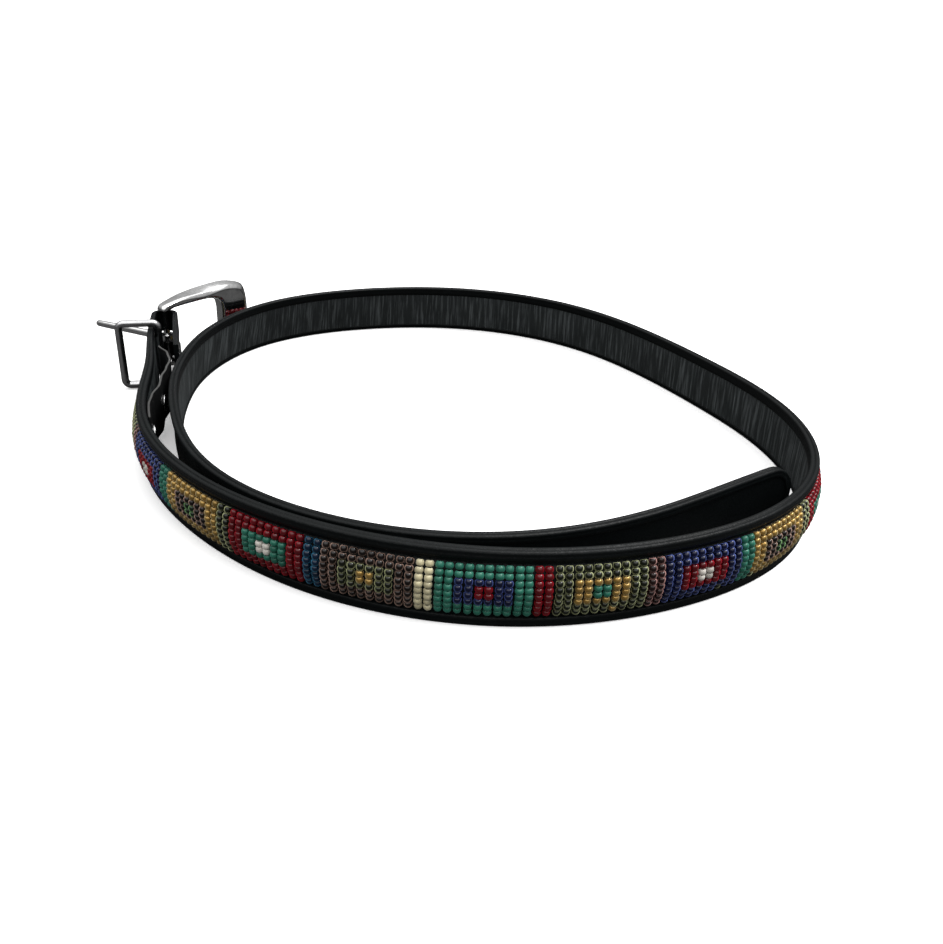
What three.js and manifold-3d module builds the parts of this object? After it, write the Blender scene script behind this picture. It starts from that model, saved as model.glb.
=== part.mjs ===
// A beaded leather belt, unfastened, standing on its lower edge in a loop with its free end inside the buckle end.
// The strap has rolled rims, a channel for a band of beadwork on its outer face and a lining in its inner face.
// Its buckle end is folded round the heel bar of a bowed metal buckle and also holds a wire keeper.
// Millimetres, +Z up. +X is to the right and +Y to the back, seen from the beaded front.
// The origin is the middle of the footprint, on the surface that the belt stands on.

import * as THREE from "three";
import { mergeVertices } from "three/addons/utils/BufferGeometryUtils.js";
import Module from "manifold-3d";

// Strap
const STRAP_LENGTH = 1250; // from the buckle fold to the tip, along the middle of the strap
const STRAP_WIDTH = 25;
const STRAP_THICKNESS = 3.6;
const TIP_LENGTH = 12.5; // of the rounded tip
const UPPER_RIM = 2.9; // height of the rolled rims that border the bead channel
const LOWER_RIM = 3.2;
const CHANNEL_DEPTH = 1.2;
const PLAIN_GROOVE = 0.25; // depth of the same channel where the strap carries no beads
const UPPER_LINING_RIM = 4.2; // height of the rims that border the lining
const LOWER_LINING_RIM = 2.4;
const LINING_RECESS = 1.2;
const LINING_STANDS_IN = 0.05; // the lining lies this far inside the rims
const CLEARANCE = 0.3; // between pieces that touch

// Buckle end: the fold, the leaf that is folded back, and the leaf with the snaps
const FOLD_SPACING = 9.8; // between the middles of the two leaves
const LEAF_THICKNESS = 2.2;
const LEAF_WIDTH = 23.2;
const RETURN_LENGTH = 42;
const RETURN_SPREAD = 1.4; // how much further from the strap the folded leaf is at its end
const FULL_WIDTH_AT = 14; // how far along the strap reaches its full width, and its full thickness
const FULL_THICKNESS_AT = 82;
const END_LIFT = 5.2; // the tall buckle lifts the end of the strap off the surface
const LIFT_RUN = 200;
const SNAP_LEAF_THICKNESS = 1.0;
const SNAP_LEAF_WIDTH = 20;
const SNAP_DIAMETER = 7;
const SNAP_HEIGHT = 1.7;

// Beadwork: blocks of columns with a pair of spacer columns between them
const BEADING_START = 83;
const COLUMN_PITCH = 2.92;
const BLOCK_COLUMNS = 10;
const SPACER_COLUMNS = 2;
const PLAIN_TAIL = 355; // at least this much strap is left plain at the free end
const BEADING_BOTTOM = 4.3; // height of the lowest bead above the strap's lower edge
const BEADING_TOP = 20.5;
const BEADING_EDGE = 0.6; // how far the beadwork stands proud of the strap at its edges and in its middle
const BEADING_CROWN = 2.6;

// Buckle
const HEEL_BAR = 3.2; // diameter
const FRAME_LENGTH = 50;
const FRAME_HEIGHT = 37.8;
const FRAME_DEPTH = 6.4; // of the lugs that hold the heel bar, from the back of the frame to its front
const FRONT_BOW = 100; // radius that the front of the frame is curved to, and its back
const BACK_BOW = 300;
const FULLEST_AT = 0.42; // where the frame is deepest, as a share of its length
const FRAME_BEVEL = 2.6; // the back of the frame's outer edge is cut back by this much
const WINDOW_LENGTH = 33;
const WINDOW_HEIGHT = 25.6;
const FRAME_CLEAR_OF_FLOOR = 0.35;
const FRAME_SWING = -49.5; // degrees from the line of the strap
const TONGUE_LENGTH = 44;
const TONGUE_WIDTH = 3.8;
const TONGUE_SWING = 54;
const TONGUE_DROP = 1.3; // how far the tongue sits below the middle of the strap
const TONGUE_EYE_WALL = 1.4;
const SLOT_HEIGHT = 5.6;
const SLOT_REACH = 8.5; // how far the slot for the tongue runs back from the heel bar

// Keeper
const KEEPER_AT = 22.5; // along the strap
const KEEPER_WIRE = 3.4;
const KEEPER_DEPTH = 17; // between the middles of its two upright sides
const KEEPER_CORNER = 2.6;
const KEEPER_CLEAR_OF_FLOOR = 0.25;

// Buckle holes
const HOLE_COUNT = 6;
const HOLE_DIAMETER = 4;
const HOLE_PITCH = 25.4;
const FIRST_HOLE_FROM_TIP = 105;

// Plan of the loop, one row for each 24 degrees round its middle, counted on past 360 for the second turn.
// reach is the distance from the middle, as a share of the loop's radius. lean is in degrees, positive outwards.
const TURN_STEP = 24;
const START_AT = 161.7;
const TIP_AT = 691.9;
const TAIL_FROM = 525; // from here the strap lies inside its own first turn
const TAIL_BLEND = 22;
const LOOP = [
  { at: 136, reach: 1.524, lean: 24.3 },
  { at: 160, reach: 1.077, lean: -5.3 },
  { at: 184, reach: 0.886, lean: -4.4 },
  { at: 208, reach: 0.912, lean: 0.7 },
  { at: 232, reach: 0.922, lean: 5.2 },
  { at: 256, reach: 0.985, lean: -3.3 },
  { at: 280, reach: 1.052, lean: -7.4 },
  { at: 304, reach: 1.098, lean: -1.3 },
  { at: 328, reach: 1.157, lean: 0.0 },
  { at: 352, reach: 1.069, lean: -2.2 },
  { at: 376, reach: 0.925, lean: -3.6 },
  { at: 400, reach: 0.924, lean: -3.2 },
  { at: 424, reach: 1.009, lean: -4.7 },
  { at: 448, reach: 1.041, lean: -7.3 },
  { at: 472, reach: 1.025, lean: -10.4 },
  { at: 496, reach: 1.032, lean: -14.1 },
  { at: 520, reach: 0.926, lean: -10.7 },
  { at: 544, reach: 0.824, lean: -2.8 },
  { at: 568, reach: 0.804, lean: 3.9 },
  { at: 592, reach: 0.776, lean: 12.1 },
];

// The free end: how far it lies inside the first turn, in strap thicknesses from middle to middle, and its lean.
const TAIL = [
  { at: 496, layers: 16.84, lean: -14.9 },
  { at: 520, layers: 6.35, lean: -10.4 },
  { at: 544, layers: 2.1, lean: -3.0 },
  { at: 568, layers: 4.45, lean: 4.3 },
  { at: 592, layers: 2.13, lean: 8.3 },
  { at: 616, layers: 2.36, lean: 6.9 },
  { at: 640, layers: 3.46, lean: 4.5 },
  { at: 664, layers: 5.5, lean: 1.8 },
  { at: 688, layers: 6.2, lean: -1.2 },
  { at: 712, layers: -10.0, lean: -5.4 },
];

// The leaf with the snaps: its distance inwards from its seat on the strap's inner face, in strap thicknesses.
const SNAP_LEAF = [
  { along: 38, bulge: 0.4 },
  { along: 47, bulge: 1.32 },
  { along: 55, bulge: 1.56 },
  { along: 64, bulge: 1.2 },
  { along: 73, bulge: 0.8 },
  { along: 81, bulge: 0.8 },
  { along: 92, bulge: 0.2 },
  { along: 100, bulge: 0 },
  { along: 113, bulge: 0 },
];
const SNAPS_AT = [77, 106];

// The buckle frame's upper half from the heel bar to the middle of the end bar.
// Along the strap: outer is a share of the frame's length, inner of the window's. The heights are shares of half
// the frame's height and of half the window's. bar is 1 on the round heel bar and 0 on the cast frame.
const FRAME_SECTIONS = [
  { name: "heel", outer: -0.032, outerHeight: 0.3, inner: 0.048, innerHeight: 0.4, bar: 1 },
  { name: "neck", outer: -0.032, outerHeight: 0.62, inner: 0.048, innerHeight: 0.9, bar: 1 },
  { name: "lug", outer: -0.06, outerHeight: 0.69, inner: 0.07, innerHeight: 0.98, bar: 0 },
  { name: "shoulder", outer: -0.02, outerHeight: 0.81, inner: 0.16, innerHeight: 1.0, bar: 0 },
  { name: "rail", outer: 0.22, outerHeight: 0.91, inner: 0.42, innerHeight: 1.0, bar: 0 },
  { name: "flare", outer: 0.52, outerHeight: 0.97, inner: 0.76, innerHeight: 0.97, bar: 0 },
  { name: "widest", outer: 0.76, outerHeight: 0.98, inner: 0.96, innerHeight: 0.8, bar: 0 },
  { name: "corner", outer: 0.95, outerHeight: 0.82, inner: 1.0, innerHeight: 0.5, bar: 0 },
  { name: "end", outer: 1.0, outerHeight: 0.42, inner: 1.0, innerHeight: 0.2, bar: 0 },
];

const HALF = STRAP_THICKNESS / 2;
const MIDDLE = STRAP_WIDTH / 2;
const STATION_STEP = 10.5; // spacing of the strap's sections
const UP = new THREE.Vector3(0, 0, 1);

const wasm = await Module();
wasm.setup();

// Small tools

// The value of a column at an angle: a smooth curve drawn towards the rows, which are evenly spaced.
function readTurn(rows, column, at) {
  const place = (at - rows[0].at) / TURN_STEP;
  const row = THREE.MathUtils.clamp(Math.floor(place), 1, rows.length - 3);
  const t = place - row;
  const weights = [(1 - t) ** 3, 3 * t ** 3 - 6 * t ** 2 + 4, -3 * t ** 3 + 3 * t ** 2 + 3 * t + 1, t ** 3];
  return weights.reduce((sum, weight, k) => sum + (weight / 6) * rows[row - 1 + k][column], 0);
}

function directionOf(degrees) {
  const angle = THREE.MathUtils.degToRad(degrees);
  return new THREE.Vector3(Math.cos(angle), Math.sin(angle), 0);
}

// A closed solid through rings that hold the same number of points. A joined loft runs back into its first ring.
function loft(rings, joined = false) {
  const count = rings[0].length;
  const positions = rings.flat().flatMap((point) => [point.x, point.y, point.z]);
  const index = [];
  const last = joined ? rings.length : rings.length - 1;
  for (let i = 0; i < last; i++) {
    const here = i * count;
    const next = ((i + 1) % rings.length) * count;
    for (let j = 0; j < count; j++) {
      const k = (j + 1) % count;
      index.push(here + j, here + k, next + k);
      index.push(here + j, next + k, next + j);
    }
  }
  if (!joined) {
    for (const face of capOf(rings[0])) index.push(face[2], face[1], face[0]);
    const start = (rings.length - 1) * count;
    for (const face of capOf(rings[rings.length - 1])) index.push(...face.map((corner) => start + corner));
  }
  const geometry = new THREE.BufferGeometry();
  geometry.setAttribute("position", new THREE.Float32BufferAttribute(positions, 3));
  geometry.setIndex(index);
  return facingOut(geometry);
}

// Triangles that close a flat ring, wound as the ring is.
function capOf(ring) {
  const normal = new THREE.Vector3();
  ring.forEach((point, i) => normal.add(new THREE.Vector3().crossVectors(point, ring[(i + 1) % ring.length])));
  const side = new THREE.Vector3().subVectors(ring[1], ring[0]).normalize();
  const rise = new THREE.Vector3().crossVectors(normal.normalize(), side);
  const flat = ring.map((point) => new THREE.Vector2(point.dot(side), point.dot(rise)));
  return THREE.ShapeUtils.triangulateShape(flat, []);
}

function facingOut(geometry) {
  const p = geometry.attributes.position;
  const index = geometry.index.array;
  const corners = [new THREE.Vector3(), new THREE.Vector3(), new THREE.Vector3()];
  let volume = 0;
  for (let i = 0; i < index.length; i += 3) {
    corners.forEach((corner, k) => corner.fromBufferAttribute(p, index[i + k]));
    volume += corners[0].dot(corners[1].cross(corners[2]));
  }
  if (volume < 0) {
    for (let i = 0; i < index.length; i += 3) [index[i], index[i + 1]] = [index[i + 1], index[i]];
  }
  return geometry;
}

function solidOf(geometry) {
  const bare = geometry.clone();
  bare.deleteAttribute("normal");
  bare.deleteAttribute("uv");
  const merged = facingOut(mergeVertices(bare, 1e-4));
  return new wasm.Manifold(
    new wasm.Mesh({
      numProp: 3,
      vertProperties: merged.attributes.position.array,
      triVerts: new Uint32Array(merged.index.array),
    }),
  );
}

function geometryOf(solid) {
  const mesh = solid.getMesh();
  const geometry = new THREE.BufferGeometry();
  geometry.setAttribute("position", new THREE.Float32BufferAttribute(mesh.vertProperties, 3));
  geometry.setIndex(new THREE.Uint32BufferAttribute(mesh.triVerts, 1));
  return geometry;
}

function namedMesh(name, geometry, colour, roughness, metalness) {
  const shape = geometry.index ? geometry.toNonIndexed() : geometry;
  shape.computeVertexNormals();
  const mesh = new THREE.Mesh(shape, new THREE.MeshStandardMaterial({ color: colour, roughness, metalness }));
  mesh.name = name;
  return mesh;
}

// Moves a geometry made about its own axes to a place, with its X, Y and Z along the given directions.
function placed(geometry, origin, alongX, alongY, alongZ) {
  const matrix = new THREE.Matrix4().makeBasis(alongX, alongY, alongZ).setPosition(origin);
  return geometry.applyMatrix4(matrix);
}

// The strap's course in plan

function reachAt(at, radius) {
  const first = radius * readTurn(LOOP, "reach", Math.min(at, TAIL_FROM + TAIL_BLEND));
  if (at <= TAIL_FROM) return first;
  const outside = radius * readTurn(LOOP, "reach", at - 360);
  const tail = outside - STRAP_THICKNESS * readTurn(TAIL, "layers", at);
  return THREE.MathUtils.lerp(first, tail, tailShare(at));
}

function leanAt(at) {
  const first = readTurn(LOOP, "lean", Math.min(at, TAIL_FROM + TAIL_BLEND));
  if (at <= TAIL_FROM) return first;
  return THREE.MathUtils.lerp(first, readTurn(TAIL, "lean", at), tailShare(at));
}

function tailShare(at) {
  return THREE.MathUtils.smoothstep(at, TAIL_FROM, TAIL_FROM + TAIL_BLEND);
}

function planPoint(at, radius) {
  return directionOf(at).multiplyScalar(reachAt(at, radius));
}

// Arc lengths along the course at each degree or so of turn.
function measureCourse(radius) {
  const steps = Math.round(TIP_AT - START_AT);
  const marks = [{ at: START_AT, along: 0 }];
  let before = planPoint(START_AT, radius);
  for (let i = 1; i <= steps; i++) {
    const at = START_AT + ((TIP_AT - START_AT) * i) / steps;
    const here = planPoint(at, radius);
    marks.push({ at, along: marks[i - 1].along + here.distanceTo(before) });
    before = here;
  }
  return marks;
}

// The loop's radius follows from the strap's length.
function findRadius() {
  let low = STRAP_LENGTH / 30;
  let high = STRAP_LENGTH / 3;
  for (let i = 0; i < 40; i++) {
    const middle = (low + high) / 2;
    const length = measureCourse(middle).at(-1).along;
    if (length < STRAP_LENGTH) low = middle;
    else high = middle;
  }
  return (low + high) / 2;
}

const LOOP_RADIUS = findRadius();
const COURSE = measureCourse(LOOP_RADIUS);

function turnAt(along) {
  const next = Math.max(1, COURSE.findIndex((mark) => mark.along >= along));
  const after = along >= STRAP_LENGTH ? COURSE.length - 1 : next;
  const a = COURSE[after - 1];
  const b = COURSE[after];
  return THREE.MathUtils.mapLinear(along, a.along, b.along, a.at, b.at);
}

// Where the strap's middle is at a distance along it: the point on the surface below, the way it runs, the way
// its outer face looks, how far it is lifted, and how far it leans out for each millimetre of height.
function stationAt(along) {
  const at = turnAt(along);
  const point = planPoint(at, LOOP_RADIUS);
  const way = planPoint(at + 0.5, LOOP_RADIUS).sub(planPoint(at - 0.5, LOOP_RADIUS)).normalize();
  const outward = new THREE.Vector3().crossVectors(way, UP);
  const lift = END_LIFT * Math.max(0, 1 - along / LIFT_RUN) ** 2;
  const free = THREE.MathUtils.smoothstep(along, KEEPER_AT + KEEPER_WIRE, 80);
  const lean = free * Math.tan(THREE.MathUtils.degToRad(leanAt(at)));
  return { point, way, outward, lift, lean };
}

// A ring of the outline's points at a station. Their x is outwards from the middle and their y is up the strap.
function ringAt(station, outline) {
  return outline.map(({ x, y }) =>
    station.point
      .clone()
      .addScaledVector(station.outward, x + y * station.lean)
      .addScaledVector(UP, y + station.lift),
  );
}

// Even stations between two places on the strap, with extra ones where something changes.
function stationsBetween(from, to, extra = []) {
  const count = Math.max(1, Math.round((to - from) / STATION_STEP));
  const even = Array.from({ length: count + 1 }, (_, i) => from + ((to - from) * i) / count);
  const kept = even.filter((along, i) => i === 0 || i === count || extra.every((e) => Math.abs(e - along) > 2));
  return [...kept, ...extra.filter((e) => e > from && e < to)].sort((a, b) => a - b);
}

// Strap

// The strap's section: rounded rims, a channel in the outer face and a recess in the inner face.
function strapOutline({ thickness, height, channel, recess }) {
  const half = thickness / 2;
  const low = MIDDLE - height / 2;
  const high = MIDDLE + height / 2;
  const round = Math.min(half * 0.72, height * 0.2);
  const share = Math.min(1, height / STRAP_WIDTH);
  const step = 0.4 * share;
  const corner = round * Math.SQRT1_2;
  const side = (sign, lowerRim, upperRim, depth) => [
    [half - round, low],
    [half - round + corner, low + round - corner],
    [half, low + round],
    [half, low + lowerRim * share],
    [half - depth, low + lowerRim * share + step],
    [half - depth, high - upperRim * share - step],
    [half, high - upperRim * share],
    [half, high - round],
    [half - round + corner, high - round + corner],
    [half - round, high],
  ].map(([x, y]) => new THREE.Vector2(sign * x, y));
  const least = (1.2 * round) / share;
  const outer = side(1, Math.max(LOWER_RIM, least), Math.max(UPPER_RIM, least), channel);
  const inner = side(-1, Math.max(LOWER_LINING_RIM, least), Math.max(UPPER_LINING_RIM, least), recess);
  return [...outer, ...inner.reverse()];
}

function beadingColumns() {
  const room = STRAP_LENGTH - PLAIN_TAIL - BEADING_START;
  const period = BLOCK_COLUMNS + SPACER_COLUMNS;
  const blocks = Math.max(1, Math.floor((room / COLUMN_PITCH + SPACER_COLUMNS) / period));
  return blocks * period - SPACER_COLUMNS;
}

const BEADING_END = BEADING_START + beadingColumns() * COLUMN_PITCH;
const CHANNEL_MARGIN = 1.5; // of channel past each end of the beadwork
const CHANNEL_WALL = 0.5;
const LINING_START = FULL_WIDTH_AT + 6;
const LINING_END = STRAP_LENGTH - TIP_LENGTH - 6;

function heldBetween(along, from, to, inside, outside) {
  return along > from && along < to ? inside : outside;
}

// The strap is pared down towards the fold.
function thicknessAt(along) {
  const growth = THREE.MathUtils.smoothstep(along, 2, FULL_THICKNESS_AT);
  return THREE.MathUtils.lerp(LEAF_THICKNESS, STRAP_THICKNESS, growth);
}

function strapSection(along) {
  const growth = THREE.MathUtils.smoothstep(along, 2, FULL_WIDTH_AT);
  const past = Math.max(0, along - (STRAP_LENGTH - TIP_LENGTH)) / TIP_LENGTH;
  const height = THREE.MathUtils.lerp(LEAF_WIDTH, STRAP_WIDTH, growth);
  const channelFrom = BEADING_START - CHANNEL_MARGIN;
  const channelTo = BEADING_END + CHANNEL_MARGIN;
  return strapOutline({
    thickness: thicknessAt(along),
    height: height * Math.max(0.14, Math.sqrt(1 - past ** 2)),
    channel: heldBetween(along, channelFrom, channelTo, CHANNEL_DEPTH, PLAIN_GROOVE),
    recess: heldBetween(along, LINING_START - CHANNEL_MARGIN, LINING_END + CHANNEL_MARGIN, LINING_RECESS, 0.1),
  });
}

// The fold at the buckle, from the end of the folded leaf round to the strap's own start.
function foldRings() {
  const start = stationAt(0);
  const leaf = strapOutline({ thickness: LEAF_THICKNESS, height: LEAF_WIDTH, channel: 0.1, recess: 0.1 });
  const rings = [];
  const leafSteps = 4;
  for (let i = 0; i < leafSteps; i++) {
    const share = 1 - i / leafSteps;
    const beside = stationAt(RETURN_LENGTH * share);
    const inset = FOLD_SPACING + RETURN_SPREAD * share;
    const station = {
      point: beside.point.clone().addScaledVector(beside.outward, -inset),
      outward: beside.outward.clone().negate(),
      lift: beside.lift,
      lean: 0,
    };
    rings.push(ringAt(station, leaf));
  }
  const foldSteps = 10;
  for (let i = 0; i < foldSteps; i++) {
    const outward = foldDirection(180 - (180 * i) / foldSteps);
    const point = foldPoint().addScaledVector(outward, FOLD_SPACING / 2);
    rings.push(ringAt({ point, outward, lift: start.lift, lean: 0 }, leaf));
  }
  return rings;
}

// A direction round the fold: 0 is outwards from the strap, 90 is away from it past the buckle, 180 is inwards.
function foldDirection(degrees) {
  const start = stationAt(0);
  const angle = THREE.MathUtils.degToRad(degrees);
  return start.outward.clone().multiplyScalar(Math.cos(angle)).addScaledVector(start.way, -Math.sin(angle));
}

// The foot of the fold's axis, midway between the two leaves.
function foldPoint() {
  const start = stationAt(0);
  return start.point.clone().addScaledVector(start.outward, -FOLD_SPACING / 2);
}

// The foot of the heel bar's axis. The bar is drawn up to the end of the fold, on its inside.
function heelPoint() {
  const room = (FOLD_SPACING - LEAF_THICKNESS) / 2 - HEEL_BAR / 2 - CLEARANCE;
  return foldPoint().addScaledVector(foldDirection(90), room);
}

const TONGUE_HEIGHT = END_LIFT + MIDDLE - TONGUE_DROP;

function makeStrap() {
  const tipStart = STRAP_LENGTH - TIP_LENGTH;
  const changes = [FULL_WIDTH_AT / 3, FULL_WIDTH_AT];
  for (const edge of [LINING_START - CHANNEL_MARGIN, BEADING_START - CHANNEL_MARGIN]) {
    changes.push(edge - CHANNEL_WALL, edge + CHANNEL_WALL / 10);
  }
  for (const edge of [BEADING_END + CHANNEL_MARGIN, LINING_END + CHANNEL_MARGIN]) {
    changes.push(edge - CHANNEL_WALL / 10, edge + CHANNEL_WALL);
  }
  const tip = [0.35, 0.6, 0.78, 0.9, 0.97, 1].map((share) => tipStart + TIP_LENGTH * share);
  const alongs = [...stationsBetween(0, tipStart, changes), ...tip];
  const rings = [...foldRings(), ...alongs.map((along) => ringAt(stationAt(along), strapSection(along)))];
  let solid = solidOf(loft(rings)).subtract(tongueSlot());
  for (let i = 0; i < HOLE_COUNT; i++) {
    solid = solid.subtract(buckleHole(STRAP_LENGTH - FIRST_HOLE_FROM_TIP - i * HOLE_PITCH));
  }
  return namedMesh("strap", geometryOf(solid), 0x15171a, 0.42, 0);
}

// The slot that lets the tongue out of the fold: a long round-ended opening through both leaves.
function tongueSlot() {
  const radius = SLOT_HEIGHT / 2;
  const front = FOLD_SPACING / 2 + LEAF_THICKNESS * 2;
  const shape = new THREE.Shape();
  shape.absarc(-SLOT_REACH + radius, 0, radius, Math.PI / 2, (3 * Math.PI) / 2, false);
  shape.lineTo(front, -radius);
  shape.lineTo(front, radius);
  const across = FOLD_SPACING + STRAP_THICKNESS * 2;
  const block = new THREE.ExtrudeGeometry(shape, { depth: across, bevelEnabled: false, curveSegments: 6 });
  block.translate(0, 0, -across / 2);
  const middle = foldPoint().setZ(TONGUE_HEIGHT);
  return solidOf(placed(block, middle, foldDirection(90), UP, foldDirection(0)));
}

function buckleHole(along) {
  const station = stationAt(along);
  const drill = new THREE.CylinderGeometry(HOLE_DIAMETER / 2, HOLE_DIAMETER / 2, STRAP_THICKNESS * 2, 12);
  const middle = station.point.clone().addScaledVector(station.outward, MIDDLE * station.lean).setZ(MIDDLE);
  return solidOf(placed(drill, middle, station.way, station.outward, UP));
}

// Lining: a thin band in the recess of the inner face.
function makeLining() {
  const low = LOWER_LINING_RIM + 0.4 + CLEARANCE;
  const high = STRAP_WIDTH - UPPER_LINING_RIM - 0.4 - CLEARANCE;
  const rings = stationsBetween(LINING_START, LINING_END).map((along) => {
    const face = -thicknessAt(along) / 2 + LINING_STANDS_IN;
    const back = face + LINING_RECESS - LINING_STANDS_IN - CLEARANCE;
    const outline = [
      new THREE.Vector2(back, low),
      new THREE.Vector2(back, high),
      new THREE.Vector2(face, high),
      new THREE.Vector2(face, low),
    ];
    return ringAt(stationAt(along), outline);
  });
  let solid = solidOf(loft(rings));
  for (let i = 0; i < HOLE_COUNT; i++) {
    solid = solid.subtract(buckleHole(STRAP_LENGTH - FIRST_HOLE_FROM_TIP - i * HOLE_PITCH));
  }
  return namedMesh("lining", geometryOf(solid), 0x2b2f31, 0.6, 0);
}

// Beadwork: one crowned band in the channel, standing proud of the strap.
function makeBeadPanel() {
  const back = HALF - CHANNEL_DEPTH + CLEARANCE;
  const middle = (BEADING_BOTTOM + BEADING_TOP) / 2;
  const reach = (BEADING_TOP - BEADING_BOTTOM) / 2;
  const outline = [
    new THREE.Vector2(back, BEADING_TOP),
    new THREE.Vector2(back, BEADING_BOTTOM),
  ];
  for (const share of [-1, -0.75, -0.3, 0.3, 0.75, 1]) {
    const proud = THREE.MathUtils.lerp(BEADING_CROWN, BEADING_EDGE, share ** 2);
    outline.push(new THREE.Vector2(HALF + proud, middle + reach * share));
  }
  const alongs = stationsBetween(BEADING_START, BEADING_END);
  const rings = alongs.map((along) => ringAt(stationAt(along), outline));
  return namedMesh("bead_panel", loft(rings), 0x8c3a3a, 0.3, 0);
}

// Snap leaf: a thin leaf of leather that stands off the strap in a low wave, with two snap caps.

function readLeaf(along) {
  const after = Math.min(SNAP_LEAF.length - 1, Math.max(1, SNAP_LEAF.findIndex((row) => row.along >= along)));
  const a = SNAP_LEAF[after - 1];
  const b = SNAP_LEAF[after];
  const share = THREE.MathUtils.smoothstep(along, a.along, b.along);
  return THREE.MathUtils.lerp(a.bulge, b.bulge, share);
}

function leafInset(along) {
  return thicknessAt(along) / 2 + CLEARANCE + SNAP_LEAF_THICKNESS / 2 + readLeaf(along) * STRAP_THICKNESS;
}

function makeSnapLeaf() {
  const low = MIDDLE - SNAP_LEAF_WIDTH / 2;
  const high = MIDDLE + SNAP_LEAF_WIDTH / 2;
  const first = SNAP_LEAF[0].along;
  const last = SNAP_LEAF.at(-1).along;
  const steps = 22;
  const rings = [];
  for (let i = 0; i <= steps; i++) {
    const along = THREE.MathUtils.lerp(first, last, i / steps);
    const inset = leafInset(along);
    const outer = -inset + SNAP_LEAF_THICKNESS / 2;
    const inner = -inset - SNAP_LEAF_THICKNESS / 2;
    const outline = [
      new THREE.Vector2(outer, low),
      new THREE.Vector2(outer, high),
      new THREE.Vector2(inner, high),
      new THREE.Vector2(inner, low),
    ];
    rings.push(ringAt(stationAt(along), outline));
  }
  return namedMesh("snap_leaf", loft(rings), 0x1a1c1f, 0.5, 0);
}

function makeSnapCap(number, along) {
  const radius = SNAP_DIAMETER / 2;
  const profile = [
    [0, 0],
    [radius, 0],
    [radius, SNAP_HEIGHT * 0.45],
    [radius * 0.8, SNAP_HEIGHT * 0.85],
    [radius * 0.4, SNAP_HEIGHT],
    [0, SNAP_HEIGHT],
  ].map(([x, y]) => new THREE.Vector2(x, y));
  const cap = new THREE.LatheGeometry(profile, 16);
  const station = stationAt(along);
  const rise = UP.clone().addScaledVector(station.outward, station.lean).normalize();
  const inward = new THREE.Vector3().crossVectors(station.way, rise).negate();
  const seat = leafInset(along) + SNAP_LEAF_THICKNESS / 2 - MIDDLE * station.lean;
  const middle = station.point.clone().addScaledVector(station.outward, -seat).setZ(MIDDLE + station.lift);
  placed(cap, middle.addScaledVector(inward, CLEARANCE), station.way, inward, rise);
  return namedMesh("snap_cap_" + number, geometryOf(solidOf(cap)), 0xc9ccd0, 0.2, 1);
}

// Buckle

const STRAP_MIDDLE = END_LIFT + MIDDLE;
const LINE_OF_STRAP = foldDirection(90);

function turned(direction, degrees) {
  return direction.clone().applyAxisAngle(UP, THREE.MathUtils.degToRad(degrees));
}

// A place on the frame: distance along it from the heel bar, in front of the bar, and above its own middle.
// The frame rises a little from the strap's height at the bar, so that its lower edge clears the floor.
function framePlace(along, front, height) {
  const way = turned(LINE_OF_STRAP, FRAME_SWING);
  const atEnd = FRAME_CLEAR_OF_FLOOR + FRAME_HEIGHT / 2;
  const middle = THREE.MathUtils.mapLinear(along, 0, FRAME_LENGTH, STRAP_MIDDLE, atEnd);
  return heelPoint()
    .addScaledVector(way, along)
    .addScaledVector(turned(way, 90), front)
    .setZ(middle + height);
}

// The frame's front and back faces, each bowed about the place where the frame is deepest.
function frontFace(along) {
  const fromFullest = FULLEST_AT * FRAME_LENGTH;
  const fall = (fromFullest ** 2 - (along - fromFullest) ** 2) / 2;
  return FRAME_DEPTH / 2 + fall / FRONT_BOW;
}

function backFace(along) {
  const fromFullest = FULLEST_AT * FRAME_LENGTH;
  const fall = (fromFullest ** 2 - (along - fromFullest) ** 2) / 2;
  return -FRAME_DEPTH / 2 + fall / BACK_BOW;
}

// One section of the frame, between a place on its window and a place on its outer edge.
function frameRing(outer, inner, bar) {
  const width = outer.distanceTo(inner);
  const radius = HEEL_BAR / 2;
  const bevel = (1 - bar) * FRAME_BEVEL * THREE.MathUtils.smoothstep(outer.x / FRAME_LENGTH, 0, 0.5);
  const chamfer = THREE.MathUtils.lerp(0.2 * Math.min(width, FRAME_DEPTH), 0.29 * HEEL_BAR, bar);
  const outline = [
    [chamfer, 0, 0],
    [width - chamfer - bevel, 0, 0],
    [width - 0.7 * bevel, 0, chamfer],
    [width, 1, -chamfer],
    [width - chamfer, 1, 0],
    [chamfer, 1, 0],
    [0, 1, -chamfer],
    [0, 0, chamfer],
  ];
  const across = new THREE.Vector2().subVectors(outer, inner).normalize();
  return outline.map(([x, side, offset]) => {
    const spot = inner.clone().addScaledVector(across, x);
    const cast = side ? frontFace(spot.x) : backFace(spot.x);
    const round = side ? radius : -radius;
    return framePlace(spot.x, THREE.MathUtils.lerp(cast, round, bar) + offset, spot.y);
  });
}

// The frame's outer edge and its window as closed curves, whose places with the same share belong together.
function frameOutlines() {
  const rows = FRAME_SECTIONS.map((row) => ({
    outer: new THREE.Vector3(row.outer * FRAME_LENGTH, (row.outerHeight * FRAME_HEIGHT) / 2, row.bar),
    inner: new THREE.Vector3(row.inner * WINDOW_LENGTH, (row.innerHeight * WINDOW_HEIGHT) / 2, row.bar),
  }));
  const below = [...rows].reverse().map(({ outer, inner }) => ({
    outer: outer.clone().setY(-outer.y),
    inner: inner.clone().setY(-inner.y),
  }));
  const all = [...rows, ...below];
  const curveOf = (edge) => new THREE.CatmullRomCurve3(all.map((row) => row[edge]), true, "catmullrom", 0.4);
  return { outer: curveOf("outer"), inner: curveOf("inner") };
}

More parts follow.
